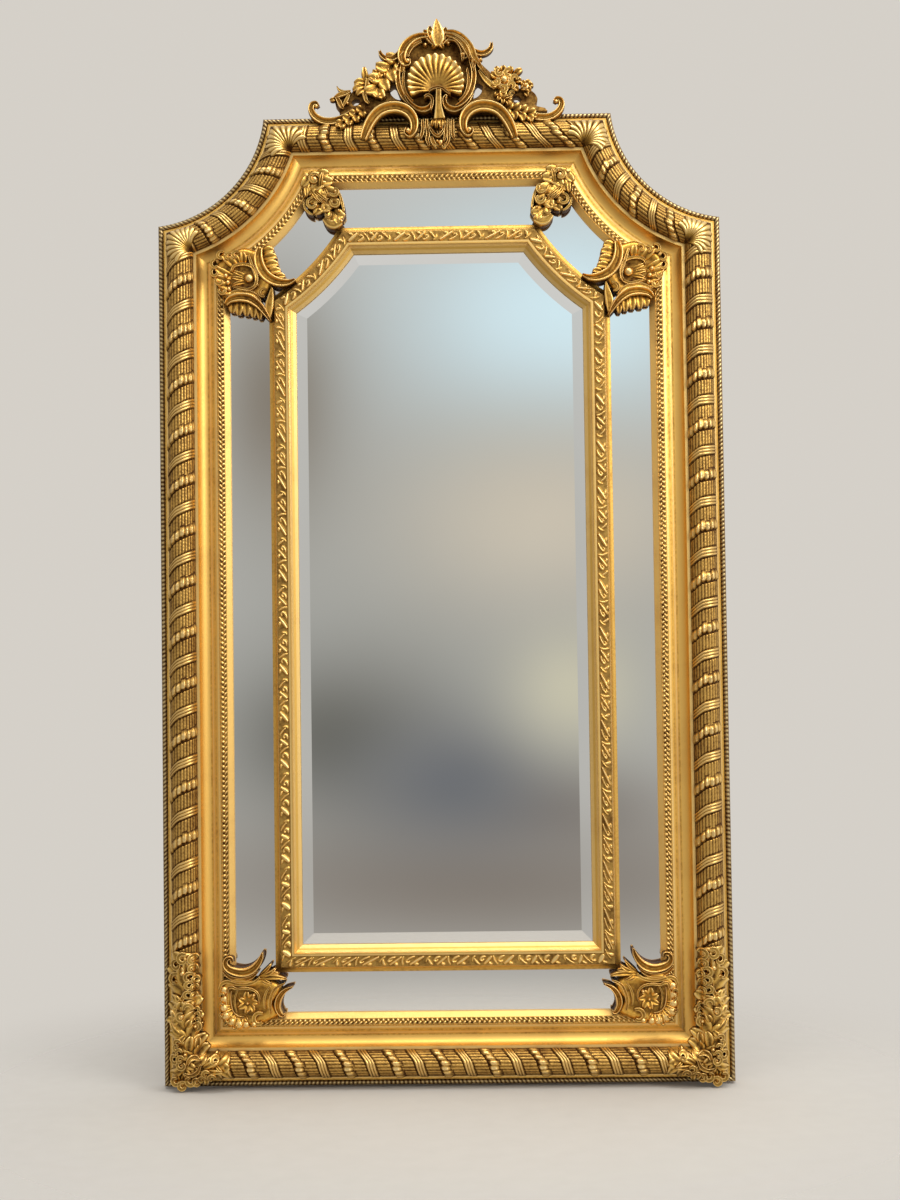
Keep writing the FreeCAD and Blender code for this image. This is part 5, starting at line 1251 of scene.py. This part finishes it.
left_rim, right_rim = bmesh.new(), bmesh.new()
for side, shape in ((-1, left_rim), (1, right_rim)):
    thick_scroll(shape, [(side * x, z) for x, z in (
        (0.066, 1.024), (0.072, 1.006), (0.0725, 0.986), (0.067, 0.964), (0.055, 0.946), (0.038, 0.934))],
        [0.0030, 0.0050, 0.0055, 0.0055, 0.0050, 0.0030], 0.0180)
    thick_scroll(shape, [(side * x, z) for x, z in (
        (0.060, 1.008), (0.0625, 0.990), (0.061, 0.972), (0.055, 0.957), (0.044, 0.946))],
        [0.0018, 0.0028, 0.0030, 0.0028, 0.0018], 0.0140, crest_face, 0.2)
thick_scroll(left_rim, [
    (-0.014, 1.071), (-0.031, 1.070), (-0.048, 1.062), (-0.060, 1.048), (-0.0645, 1.032), (-0.060, 1.019),
    (-0.052, 1.018), (-0.051, 1.026),
], [0.0045, 0.0065, 0.0085, 0.0095, 0.0090, 0.0070, 0.0050, 0.0035], 0.0230)
thick_scroll(left_rim, [(-0.026, 1.062), (-0.042, 1.054), (-0.051, 1.042), (-0.053, 1.032)],
             [0.0022, 0.0034, 0.0034, 0.0022], 0.0150, crest_face, 0.2)
thick_scroll(right_rim, [
    (0.018, 1.072), (0.036, 1.069), (0.051, 1.060), (0.060, 1.047), (0.061, 1.034), (0.054, 1.029),
    (0.050, 1.036),
], [0.0035, 0.0055, 0.0065, 0.0065, 0.0055, 0.0040, 0.0028], 0.0200)
RIM_STROKES = {
    "left": 340, "top": 3, "zoom": 7.84, "depth": 0.050,
    "scrolls": [
        ([(838, 242), (895, 252), (962, 290), (1022, 360), (1052, 440), (1092, 492)],
         [10, 24, 28, 28, 26, 6], 24, 0.2),
        ([(832, 270), (892, 282), (947, 322), (992, 390), (1018, 464)], [10, 22, 24, 22, 5], 26, 0.2),
        ([(850, 302), (905, 304), (945, 348), (965, 412), (958, 472)], [8, 17, 19, 17, 5], 22, 0.2),
    ],
}
carve_strokes(right_rim, crest_face, CREST_FOOT, RIM_STROKES, LOW_EYES)
knob(left_rim, -0.0525, 1.0225, CREST_SEAT + 0.016, 0.0048, 0.008)
knob(right_rim, 0.0535, 1.0335, CREST_SEAT + 0.014, 0.0042, 0.008)
for side, shape in (("left", left_rim), ("right", right_rim)):
    carved(side + "_shell_rim", shape, crest_gilding, [side + "_crest_rim"])

pendant = bmesh.new()
HUSK_BAND = [(905, 165), (868, 195), (866, 280), (915, 365), (1015, 405), (1120, 388), (1220, 320),
             (1300, 232), (1358, 130)]
HUSK_MIDDLE = 757
PENDANT_STROKES = {
    "left": 395, "top": 85, "zoom": 17.42, "depth": 0.074,
    "scrolls": [
        ([(585, 112), (620, 72), (685, 42), (760, 32), (832, 52), (892, 102), (962, 150)],
         [12, 20, 24, 24, 24, 20, 10], 33, 0.2),
        ([(622, 430), (645, 335), (650, 260), (630, 200), (580, 172), (532, 188), (515, 218)],
         [18, 24, 26, 26, 24, 20, 12], 33, 0.25),
        (HUSK_BAND, [14, 28, 44, 56, 58, 46, 32, 24, 10], 29, 0.35),
        ([(2 * HUSK_MIDDLE - across, down) for across, down in HUSK_BAND[2:]],
         [34, 50, 54, 44, 32, 24, 10], 27, 0.35),
        ([(758, 75), (757, 220), (757, 340), (765, 450), (775, 580)], [48, 54, 58, 80, 112], 34.5, 0.05),
    ],
    "knobs": [(536, 205, 17, 34), (905, 205, 17, 32)],
}
carve_strokes(pendant, crest_face, CREST_FOOT, PENDANT_STROKES, LOW_EYES)
HUSK_STROKES = {
    "left": 395, "top": 85, "zoom": 17.42, "depth": 0.080,
    "scrolls": [
        ([(478, 598), (482, 680), (485, 760), (470, 850), (440, 930)], [20, 28, 28, 34, 16], 15, 0.35),
        ([(555, 590), (548, 670), (560, 760), (575, 860), (560, 950), (595, 1050)],
         [24, 30, 30, 36, 34, 14], 15, 0.35),
        ([(1000, 600), (1000, 700), (1000, 800), (1010, 880), (1042, 945)], [30, 34, 34, 30, 12], 15, 0.35),
        ([(925, 600), (928, 720), (932, 850), (930, 960), (880, 1065)], [22, 26, 28, 28, 14], 16, 0.3),
        ([(865, 690), (880, 800), (872, 900), (850, 980)], [18, 28, 28, 14], 15, 0.3),
        ([(590, 700), (640, 800), (700, 868), (760, 885), (815, 835), (850, 760)],
         [16, 26, 28, 28, 26, 12], 17.5, 0.25),
        ([(640, 890), (655, 970), (690, 1030), (725, 1065)], [20, 40, 34, 14], 14, 0.25),
    ],
    "leaflets": [
        ((735, 570), (715, 735), 0.02, 42, 16, 2), ((800, 570), (800, 765), 0.03, 46, 17, 2),
        ((665, 580), (640, 710), 0.03, 36, 15, 2), ((850, 590), (880, 700), -0.03, 34, 15, 2),
    ],
    "curls": [(605, 725, 36, 60, 260, 15), (720, 1070, 32, 20, 260, 14), (855, 1065, 32, 150, 260, 14)],
    "knobs": [(795, 980, 54, 13), (735, 955, 30, 12), (790, 735, 22, 18.5)],
}
HUSK_FOOT = 0.066
ARCH = {"ground": 0.0665, "ledge": 0.0672, "middle": 0.005, "root": 0.095, "height": 0.887, "wide": 0.050,
        "tall": 0.045}
carve_strokes(pendant, proud_of(ARCH["ground"]), HUSK_FOOT, HUSK_STROKES, LOW_EYES)
carved("pendant_leaf", pendant, crest_gilding, ["crest_pendant"])

ARCH_CROP = {"left": 340, "top": 3, "zoom": 7.84, "depth": 0.080}
ARCH_HALVES = (
    ((530, 1030), (985, 1030)), ((570, 995), (962, 985)), ((580, 925), (968, 915)), ((552, 868), (995, 860)),
    ((500, 830), (1045, 818)), ((435, 812), (1110, 802)), ((360, 822), (1180, 808)), ((295, 858), (1250, 838)),
    ((245, 930), (1310, 895)),
)
ARCH_VOLUTE = [(0.0600, 0.8870), (0.0625, 0.8790)]
ARCH_FEET = [(0.1380, 0.8850), (0.1440, 0.8680)]
ARCH_WIDTHS = [0.0034, 0.0042, 0.0052, 0.0072, 0.0092, 0.0103, 0.0110, 0.0113, 0.0114, 0.0112, 0.0106, 0.0092,
               0.0068]


def arch_line():
    """Line of the arch from its volute to its foot, halfway between the given lines of its two halves."""
    line = []
    for left, right in ARCH_HALVES:
        left_x, left_z = picture_place(ARCH_CROP, *left)
        right_x, right_z = picture_place(ARCH_CROP, *right)
        line.append(((right_x - left_x) / 2, (left_z + right_z) / 2))
    return ARCH_VOLUTE + line + ARCH_FEET


def broken_arch(side):
    """Half of the broken arch: a moulded band that springs from the rail and ends in a volute."""
    shape = bmesh.new()
    spine = [(ARCH["middle"] + side * x, z) for x, z in arch_line()]
    thick_scroll(shape, spine, ARCH_WIDTHS, 0.0185, proud_of(ARCH["ground"]), 0.55, ARCH["ground"])
    knob(shape, ARCH["middle"] + side * 0.0585, 0.8825, 0.0780, 0.0050, 0.0080)
    rows = []
    for step in range(25):
        angle = math.pi * step / 24
        across, up = ARCH["wide"] * math.cos(angle), ARCH["tall"] * math.sin(angle)
        rows.append([(ARCH["middle"] + side * (ARCH["root"] + across * out), ARCH["height"] + up * out,
                      ARCH["ledge"], 0.1) for out in (0.86, 1.0)])
    raise_relief(shape, rows, CREST_FOOT)
    return shape


for side, name in ((-1, "left"), (1, "right")):
    carved(name + "_broken_arch", broken_arch(side), crest_gilding, [name + "_crest_arch"])


left_spray = bmesh.new()
frond(left_spray, [(-0.070, 1.030), (-0.086, 1.014), (-0.101, 0.995), (-0.112, 0.974), (-0.113, 0.953)],
      0.0255, 0.0140, 4, 0.007)
frond(left_spray, [(-0.090, 1.002), (-0.104, 1.004), (-0.116, 0.998), (-0.124, 0.988)], 0.0110, 0.0130, 4)
thick_scroll(left_spray, [
    (-0.064, 1.046), (-0.073, 1.036), (-0.084, 1.030), (-0.096, 1.031), (-0.104, 1.038), (-0.107, 1.046),
], [0.0062, 0.0062, 0.0058, 0.0050, 0.0042, 0.0028], 0.0150)
LEFT_SPRAY_STROKES = {
    "left": 300, "top": 45, "zoom": 13.07, "depth": 0.052,
    "scrolls": [
        ([(880, 440), (872, 540), (852, 640), (862, 720), (905, 765)], [20, 28, 28, 28, 14], 12, 0.1),
        ([(665, 610), (590, 632), (512, 660), (452, 692)], [14, 36, 36, 12], 14, 0.25),
        ([(470, 680), (510, 740), (536, 800), (572, 838)], [16, 32, 30, 10], 14, 0.25),
        ([(645, 640), (604, 720), (560, 800)], [14, 26, 10], 10, 0.1),
        ([(645, 628), (572, 614), (515, 590), (482, 543)], [12, 22, 17, 5], 12, 0.1),
    ],
    "leaflets": [
        ((866, 475), (840, 290), 0.04, 46, 14, 3), ((862, 482), (705, 500), -0.10, 52, 12, 3),
        ((852, 520), (690, 592), -0.08, 52, 12, 3), ((842, 560), (738, 652), -0.05, 48, 12, 3),
        ((852, 560), (830, 685), 0.05, 42, 12, 2), ((482, 690), (390, 722), 0.05, 32, 12, 3),
    ],
    "knobs": [(902, 520, 26, 17), (626, 766, 22, 14)],
}
carve_strokes(left_spray, crest_face, CREST_FOOT, LEFT_SPRAY_STROKES, LOW_EYES)
right_spray = bmesh.new()
thick_scroll(right_spray, [
    (0.066, 1.046), (0.076, 1.040), (0.088, 1.037), (0.099, 1.040), (0.1065, 1.048), (0.1075, 1.058),
], [0.0062, 0.0062, 0.0060, 0.0054, 0.0046, 0.0028], 0.0150)
RIGHT_SPRAY_STROKES = {
    "left": 465, "top": 45, "zoom": 13.07, "depth": 0.054,
    "scrolls": [
        ([(60, 60), (100, 150), (112, 240), (122, 345)], [14, 28, 32, 8], 17, 0.2),
        ([(112, 90), (152, 190), (202, 290), (275, 392)], [12, 28, 28, 8], 18, 0.2),
        ([(180, 330), (250, 430), (330, 510), (385, 572)], [12, 32, 36, 10], 12, 0.1),
    ],
    "leaflets": [
        ((440, 410), (335, 362), 0.08, 54, 15, 3), ((455, 370), (398, 284), 0.08, 50, 15, 3),
        ((515, 350), (490, 268), 0.05, 50, 15, 3), ((580, 360), (608, 280), 0.05, 50, 15, 3),
        ((635, 390), (744, 316), 0.06, 46, 15, 4), ((650, 460), (742, 466), 0.05, 48, 15, 3),
        ((620, 535), (698, 592), 0.05, 50, 15, 3), ((425, 500), (345, 545), 0.05, 50, 15, 3),
        ((500, 560), (488, 695), 0.04, 64, 15, 3), ((785, 530), (748, 458), 0.05, 42, 14, 2),
        ((800, 520), (846, 454), 0.05, 42, 14, 2), ((805, 530), (894, 514), 0.05, 40, 14, 2),
        ((800, 540), (856, 606), 0.05, 42, 14, 2), ((785, 545), (728, 578), 0.05, 40, 14, 2),
        ((775, 590), (822, 660), 0.05, 40, 10, 2),
    ],
    "curls": [
        (447, 362, 44, 100, 270, 30), (562, 372, 48, 40, 270, 32), (640, 446, 44, 340, 270, 30),
        (598, 534, 46, 290, 270, 31), (500, 572, 46, 230, 270, 31), (412, 484, 42, 170, 270, 29),
        (610, 642, 34, 0, 320, 16),
    ],
    "knobs": [(515, 455, 140, 13), (790, 530, 66, 11), (512, 460, 60, 23), (788, 525, 28, 18),
              (100, 214, 34, 19), (205, 192, 26, 17)],
}
carve_strokes(right_spray, crest_face, CREST_FOOT, RIGHT_SPRAY_STROKES, LOW_EYES)
frond(right_spray, [(0.118, 0.965), (0.124, 0.955), (0.132, 0.948), (0.142, 0.944)], 0.0120, 0.0120, 4, 0.003)
for side, shape in (("left", left_spray), ("right", right_spray)):
    carved(side + "_flower_spray", shape, crest_gilding, [side + "_crest_flowers"])


HORN_SPINE = ((0.158, 0.930), (0.176, 0.919), (0.196, 0.9125), (0.216, 0.9130), (0.231, 0.9210),
              (0.2395, 0.9335), (0.2385, 0.9445), (0.2310, 0.9475), (0.2265, 0.9420))
HORN_WIDTHS = [0.0060, 0.0072, 0.0078, 0.0076, 0.0070, 0.0064, 0.0056, 0.0046, 0.0032]


def crest_horn(side):
    """Horn along the top edge that curls up at its end, with an eye in the curl; the broad leaf at its root is
    carved on later.
    """
    shape = bmesh.new()
    spine = [(side * x, z) for x, z in HORN_SPINE]
    thick_scroll(shape, spine, HORN_WIDTHS, 0.0160, proud_of(0.040), 0.4, 0.0345)
    knob(shape, side * 0.2300, 0.9420, 0.049, 0.0046, 0.007)
    return shape


left_horn, right_horn = crest_horn(-1), crest_horn(1)
LEFT_HORN_CROP = {"left": 300, "top": 45, "zoom": 13.07, "depth": 0.072}
RIGHT_HORN_CROP = {"left": 465, "top": 45, "zoom": 13.07, "depth": 0.072}
LEFT_HORN_SPINE = ((815, 805), (700, 890), (580, 970), (470, 1062))
RIGHT_HORN_SPINE = ((530, 775), (660, 820), (790, 855), (945, 905))
acanthus(left_horn, [picture_place(LEFT_HORN_CROP, *place) for place in LEFT_HORN_SPINE],
         0.0130, 0.0120, 4, off_round, LEAF_FOOT, 0.004)
acanthus(right_horn, [picture_place(RIGHT_HORN_CROP, *place) for place in RIGHT_HORN_SPINE],
         0.0165, 0.0120, 4, off_round, LEAF_FOOT, 0.004)
for side, shape in (("left", left_horn), ("right", right_horn)):
    carved(side + "_horn_scroll", shape, crest_gilding, [side + "_crest_horn"])


# Back: a fibre panel behind the plates, softwood battens round it, countersunk screws, and a pair
# of steel straps with hanging rings on their pins. None of it is gilded.
def plain_wood(name, pale, dark, along, mitred=False):
    """Sawn wood with its grain along the stiles, or turned along the rails beyond the mitres."""
    material = bpy.data.materials.new(name)
    material.use_nodes = True
    tree = material.node_tree
    shader = tree.nodes["Principled BSDF"]
    place = put(tree, "ShaderNodeTexCoord").outputs["Object"]
    if mitred:
        parts = put(tree, "ShaderNodeSeparateXYZ", {0: place}).outputs
        from_side = sum_of(tree, "SUBTRACT", OUTLINE["half_width"], sum_of(tree, "ABSOLUTE", parts[0]))
        from_end = sum_of(tree, "SUBTRACT", OUTLINE["half_height"], sum_of(tree, "ABSOLUTE", parts[2]))
        rail = sum_of(tree, "LESS_THAN", from_end, from_side)
        turned = sum_of(tree, "MULTIPLY", sum_of(tree, "SUBTRACT", parts[2], parts[0]), rail)
        place = put(tree, "ShaderNodeCombineXYZ", {0: sum_of(tree, "ADD", parts[0], turned), 1: parts[1],
                                                   2: sum_of(tree, "SUBTRACT", parts[2], turned)}).outputs[0]
    stretch = put(tree, "ShaderNodeMapping", {"Vector": place, "Scale": along}).outputs[0]
    rings = put(tree, "ShaderNodeTexNoise", {"Vector": stretch, "Scale": 9.0, "Detail": 6.0,
                                             "Distortion": 0.8}).outputs[0]
    pores = put(tree, "ShaderNodeTexNoise", {"Vector": stretch, "Scale": 60.0, "Detail": 3.0}).outputs[0]
    share = sum_of(tree, "MULTIPLY", sum_of(tree, "SUBTRACT", rings, 0.36, True), 3.0, True)
    tint = blended(tree, share, pale, dark)
    tint = blended(tree, sum_of(tree, "MULTIPLY", pores, 0.35, True), tint, dark)
    tree.links.new(tint, shader.inputs["Base Color"])
    rough = sum_of(tree, "ADD", sum_of(tree, "MULTIPLY", pores, 0.25), 0.55)
    tree.links.new(rough, shader.inputs["Roughness"])
    height = sum_of(tree, "ADD", sum_of(tree, "MULTIPLY", rings, 0.6), pores)
    bump = put(tree, "ShaderNodeBump", {"Strength": 0.25, "Distance": 0.001, "Height": height})
    tree.links.new(bump.outputs[0], shader.inputs["Normal"])
    return material


pine = plain_wood("pine_battens", (0.50, 0.33, 0.17, 1), (0.27, 0.145, 0.06, 1), (7.0, 7.0, 0.8), True)
finish_nodes(["back_battens"], pine)
fibre = plain_wood("fibre_panel", (0.25, 0.155, 0.085, 1), (0.18, 0.108, 0.056, 1), (16.0, 16.0, 16.0))
finish_nodes(["back_panel"], fibre)


def zinc(name, tint):
    """Zinc-plated steel: a dull spangle and fine scratches."""
    material = bpy.data.materials.new(name)
    material.use_nodes = True
    tree = material.node_tree
    shader = tree.nodes["Principled BSDF"]
    shader.inputs["Metallic"].default_value = 1.0
    place = put(tree, "ShaderNodeTexCoord").outputs["Object"]
    spangle = put(tree, "ShaderNodeTexVoronoi", {"Vector": place, "Scale": 420.0}).outputs["Color"]
    grey = put(tree, "ShaderNodeSeparateColor", {0: spangle}).outputs[0]
    tree.links.new(blended(tree, sum_of(tree, "MULTIPLY", grey, 0.4, True), tint, (0.30, 0.31, 0.32, 1)),
                   shader.inputs["Base Color"])
    scratch = put(tree, "ShaderNodeTexNoise", {"Vector": place, "Scale": 700.0, "Detail": 3.0}).outputs[0]
    rough = sum_of(tree, "ADD", sum_of(tree, "MULTIPLY", scratch, 0.25), 0.22)
    tree.links.new(rough, shader.inputs["Roughness"])
    bump = put(tree, "ShaderNodeBump", {"Strength": 0.12, "Distance": 0.0004, "Height": scratch})
    tree.links.new(bump.outputs[0], shader.inputs["Normal"])
    return material


fittings = ["screws"]
fittings += [side + part for side in ("left", "right") for part in ("_hanger_strap", "_hanger_ring")]
finish_nodes(fittings, zinc("zinc_steel", (0.58, 0.59, 0.60, 1)))


# Studio: a pale floor that fades into a pale backdrop, two broad lamps, one above
# and one at the right. The room behind the viewer, which the plates reflect, is a soft grey with a window.
BACKDROP = (0.665, 0.631, 0.580, 1)
world = bpy.data.worlds.new("studio")
bpy.context.scene.world = world
world.use_nodes = True
sky = world.node_tree
ahead = put(sky, "ShaderNodeTexCoord").outputs["Generated"]
axes = put(sky, "ShaderNodeSeparateXYZ", {0: ahead}).outputs
lean = sum_of(sky, "ADD", sum_of(sky, "MULTIPLY", axes[0], 0.30), sum_of(sky, "MULTIPLY", axes[2], 0.40))
room = blended(sky, sum_of(sky, "ADD", lean, 0.54, True), (0.27, 0.24, 0.20, 1), (1.04, 1.03, 1.01, 1))
nearness = sum_of(sky, "MAXIMUM", sum_of(sky, "MULTIPLY", axes[1], -1.0), 0.05)
across = sum_of(sky, "DIVIDE", axes[0], nearness)
upward = sum_of(sky, "DIVIDE", axes[2], nearness)
ROOM_PATCHES = (
    ((0.000, 0.040), (0.30, 0.30), (0.39, 0.39, 0.365, 1)),
    ((0.000, -0.300), (0.60, 0.11), (0.62, 0.58, 0.52, 1)),
    ((0.050, 0.200), (0.090, 0.060), (0.68, 0.86, 0.93, 1)),
    ((0.040, 0.080), (0.080, 0.050), (0.62, 0.56, 0.46, 1)),
    ((-0.115, 0.150), (0.035, 0.065), (0.25, 0.22, 0.18, 1)),
    ((0.000, -0.125), (0.200, 0.042), (0.25, 0.22, 0.19, 1)),
    ((-0.085, -0.042), (0.066, 0.046), (0.160, 0.157, 0.138, 1)),
    ((0.040, -0.085), (0.060, 0.026), (0.250, 0.223, 0.196, 1)),
    ((-0.015, -0.068), (0.056, 0.036), (0.165, 0.172, 0.185, 1)),
    ((0.052, -0.016), (0.034, 0.032), (0.60, 0.57, 0.44, 1)),
)
for (middle, height), (wide, tall), tint in ROOM_PATCHES:
    aside = sum_of(sky, "DIVIDE", sum_of(sky, "SUBTRACT", across, middle), wide)
    above = sum_of(sky, "DIVIDE", sum_of(sky, "SUBTRACT", upward, height), tall)
    off = sum_of(sky, "ADD", sum_of(sky, "MULTIPLY", aside, aside), sum_of(sky, "MULTIPLY", above, above))
    share = sum_of(sky, "EXPONENT", sum_of(sky, "MULTIPLY", off, -0.9))
    room = blended(sky, share, room, tint)
light_path = put(sky, "ShaderNodeLightPath").outputs["Is Camera Ray"]
sky.links.new(blended(sky, light_path, room, BACKDROP), sky.nodes["Background"].inputs["Color"])


def soft_lamp(name, place, target, wide, tall, power, tint):
    """Broad lamp that faces a point."""
    light = bpy.data.lights.new(name, "AREA")
    light.shape = "RECTANGLE"
    light.size, light.size_y, light.energy, light.color = wide, tall, power, tint
    lamp = bpy.data.objects.new(name, light)
    lamp.location = place
    lamp.rotation_euler = (Vector(target) - Vector(place)).to_track_quat("-Z", "Y").to_euler()
    bpy.context.scene.collection.objects.link(lamp)


soft_lamp("lamp_right", (2.0, -2.0, 1.5), (0.0, 0.0, 0.0), 1.6, 1.6, 44, (1.0, 0.97, 0.92))
soft_lamp("lamp_above", (0.2, -1.3, 2.9), (0.0, 0.0, 0.0), 2.4, 1.0, 40, (1.0, 0.98, 0.95))

floor_mesh = bpy.data.meshes.new("floor")
FLOOR = {"radius": 2.6, "level": -0.9285}
turns = [math.pi * step / 32 for step in range(64)]
floor_rim = [(FLOOR["radius"] * math.cos(turn), FLOOR["radius"] * math.sin(turn), FLOOR["level"])
             for turn in turns]
floor_mesh.from_pydata(floor_rim, [], [tuple(range(64))])
floor = bpy.data.objects.new("floor", floor_mesh)
bpy.context.scene.collection.objects.link(floor)
floor_paint = bpy.data.materials.new("pale_floor")
floor_paint.use_nodes = True
tree = floor_paint.node_tree
shader = tree.nodes["Principled BSDF"]
shader.inputs["Roughness"].default_value = 0.9
shader.inputs["Specular IOR Level"].default_value = 0.1
place = put(tree, "ShaderNodeTexCoord").outputs["Object"]
flat = put(tree, "ShaderNodeVectorMath", {0: place, 1: (1.0, 1.0, 0.0)}, operation="MULTIPLY").outputs[0]
away = put(tree, "ShaderNodeVectorMath", {0: flat}, operation="LENGTH").outputs["Value"]
fade = put(tree, "ShaderNodeMapRange", {0: away, 1: 1.3, 2: 0.35}, interpolation_type="SMOOTHSTEP").outputs[0]
grain = put(tree, "ShaderNodeTexNoise", {"Vector": place, "Scale": 25.0, "Detail": 3.0}).outputs[0]
floor_tint = blended(tree, grain, (0.52, 0.495, 0.455, 1), (0.56, 0.535, 0.495, 1))
tree.links.new(floor_tint, shader.inputs["Base Color"])
tree.links.new(fade, shader.inputs["Alpha"])
floor_mesh.materials.append(floor_paint)

bpy.context.scene.view_settings.view_transform = "Standard"
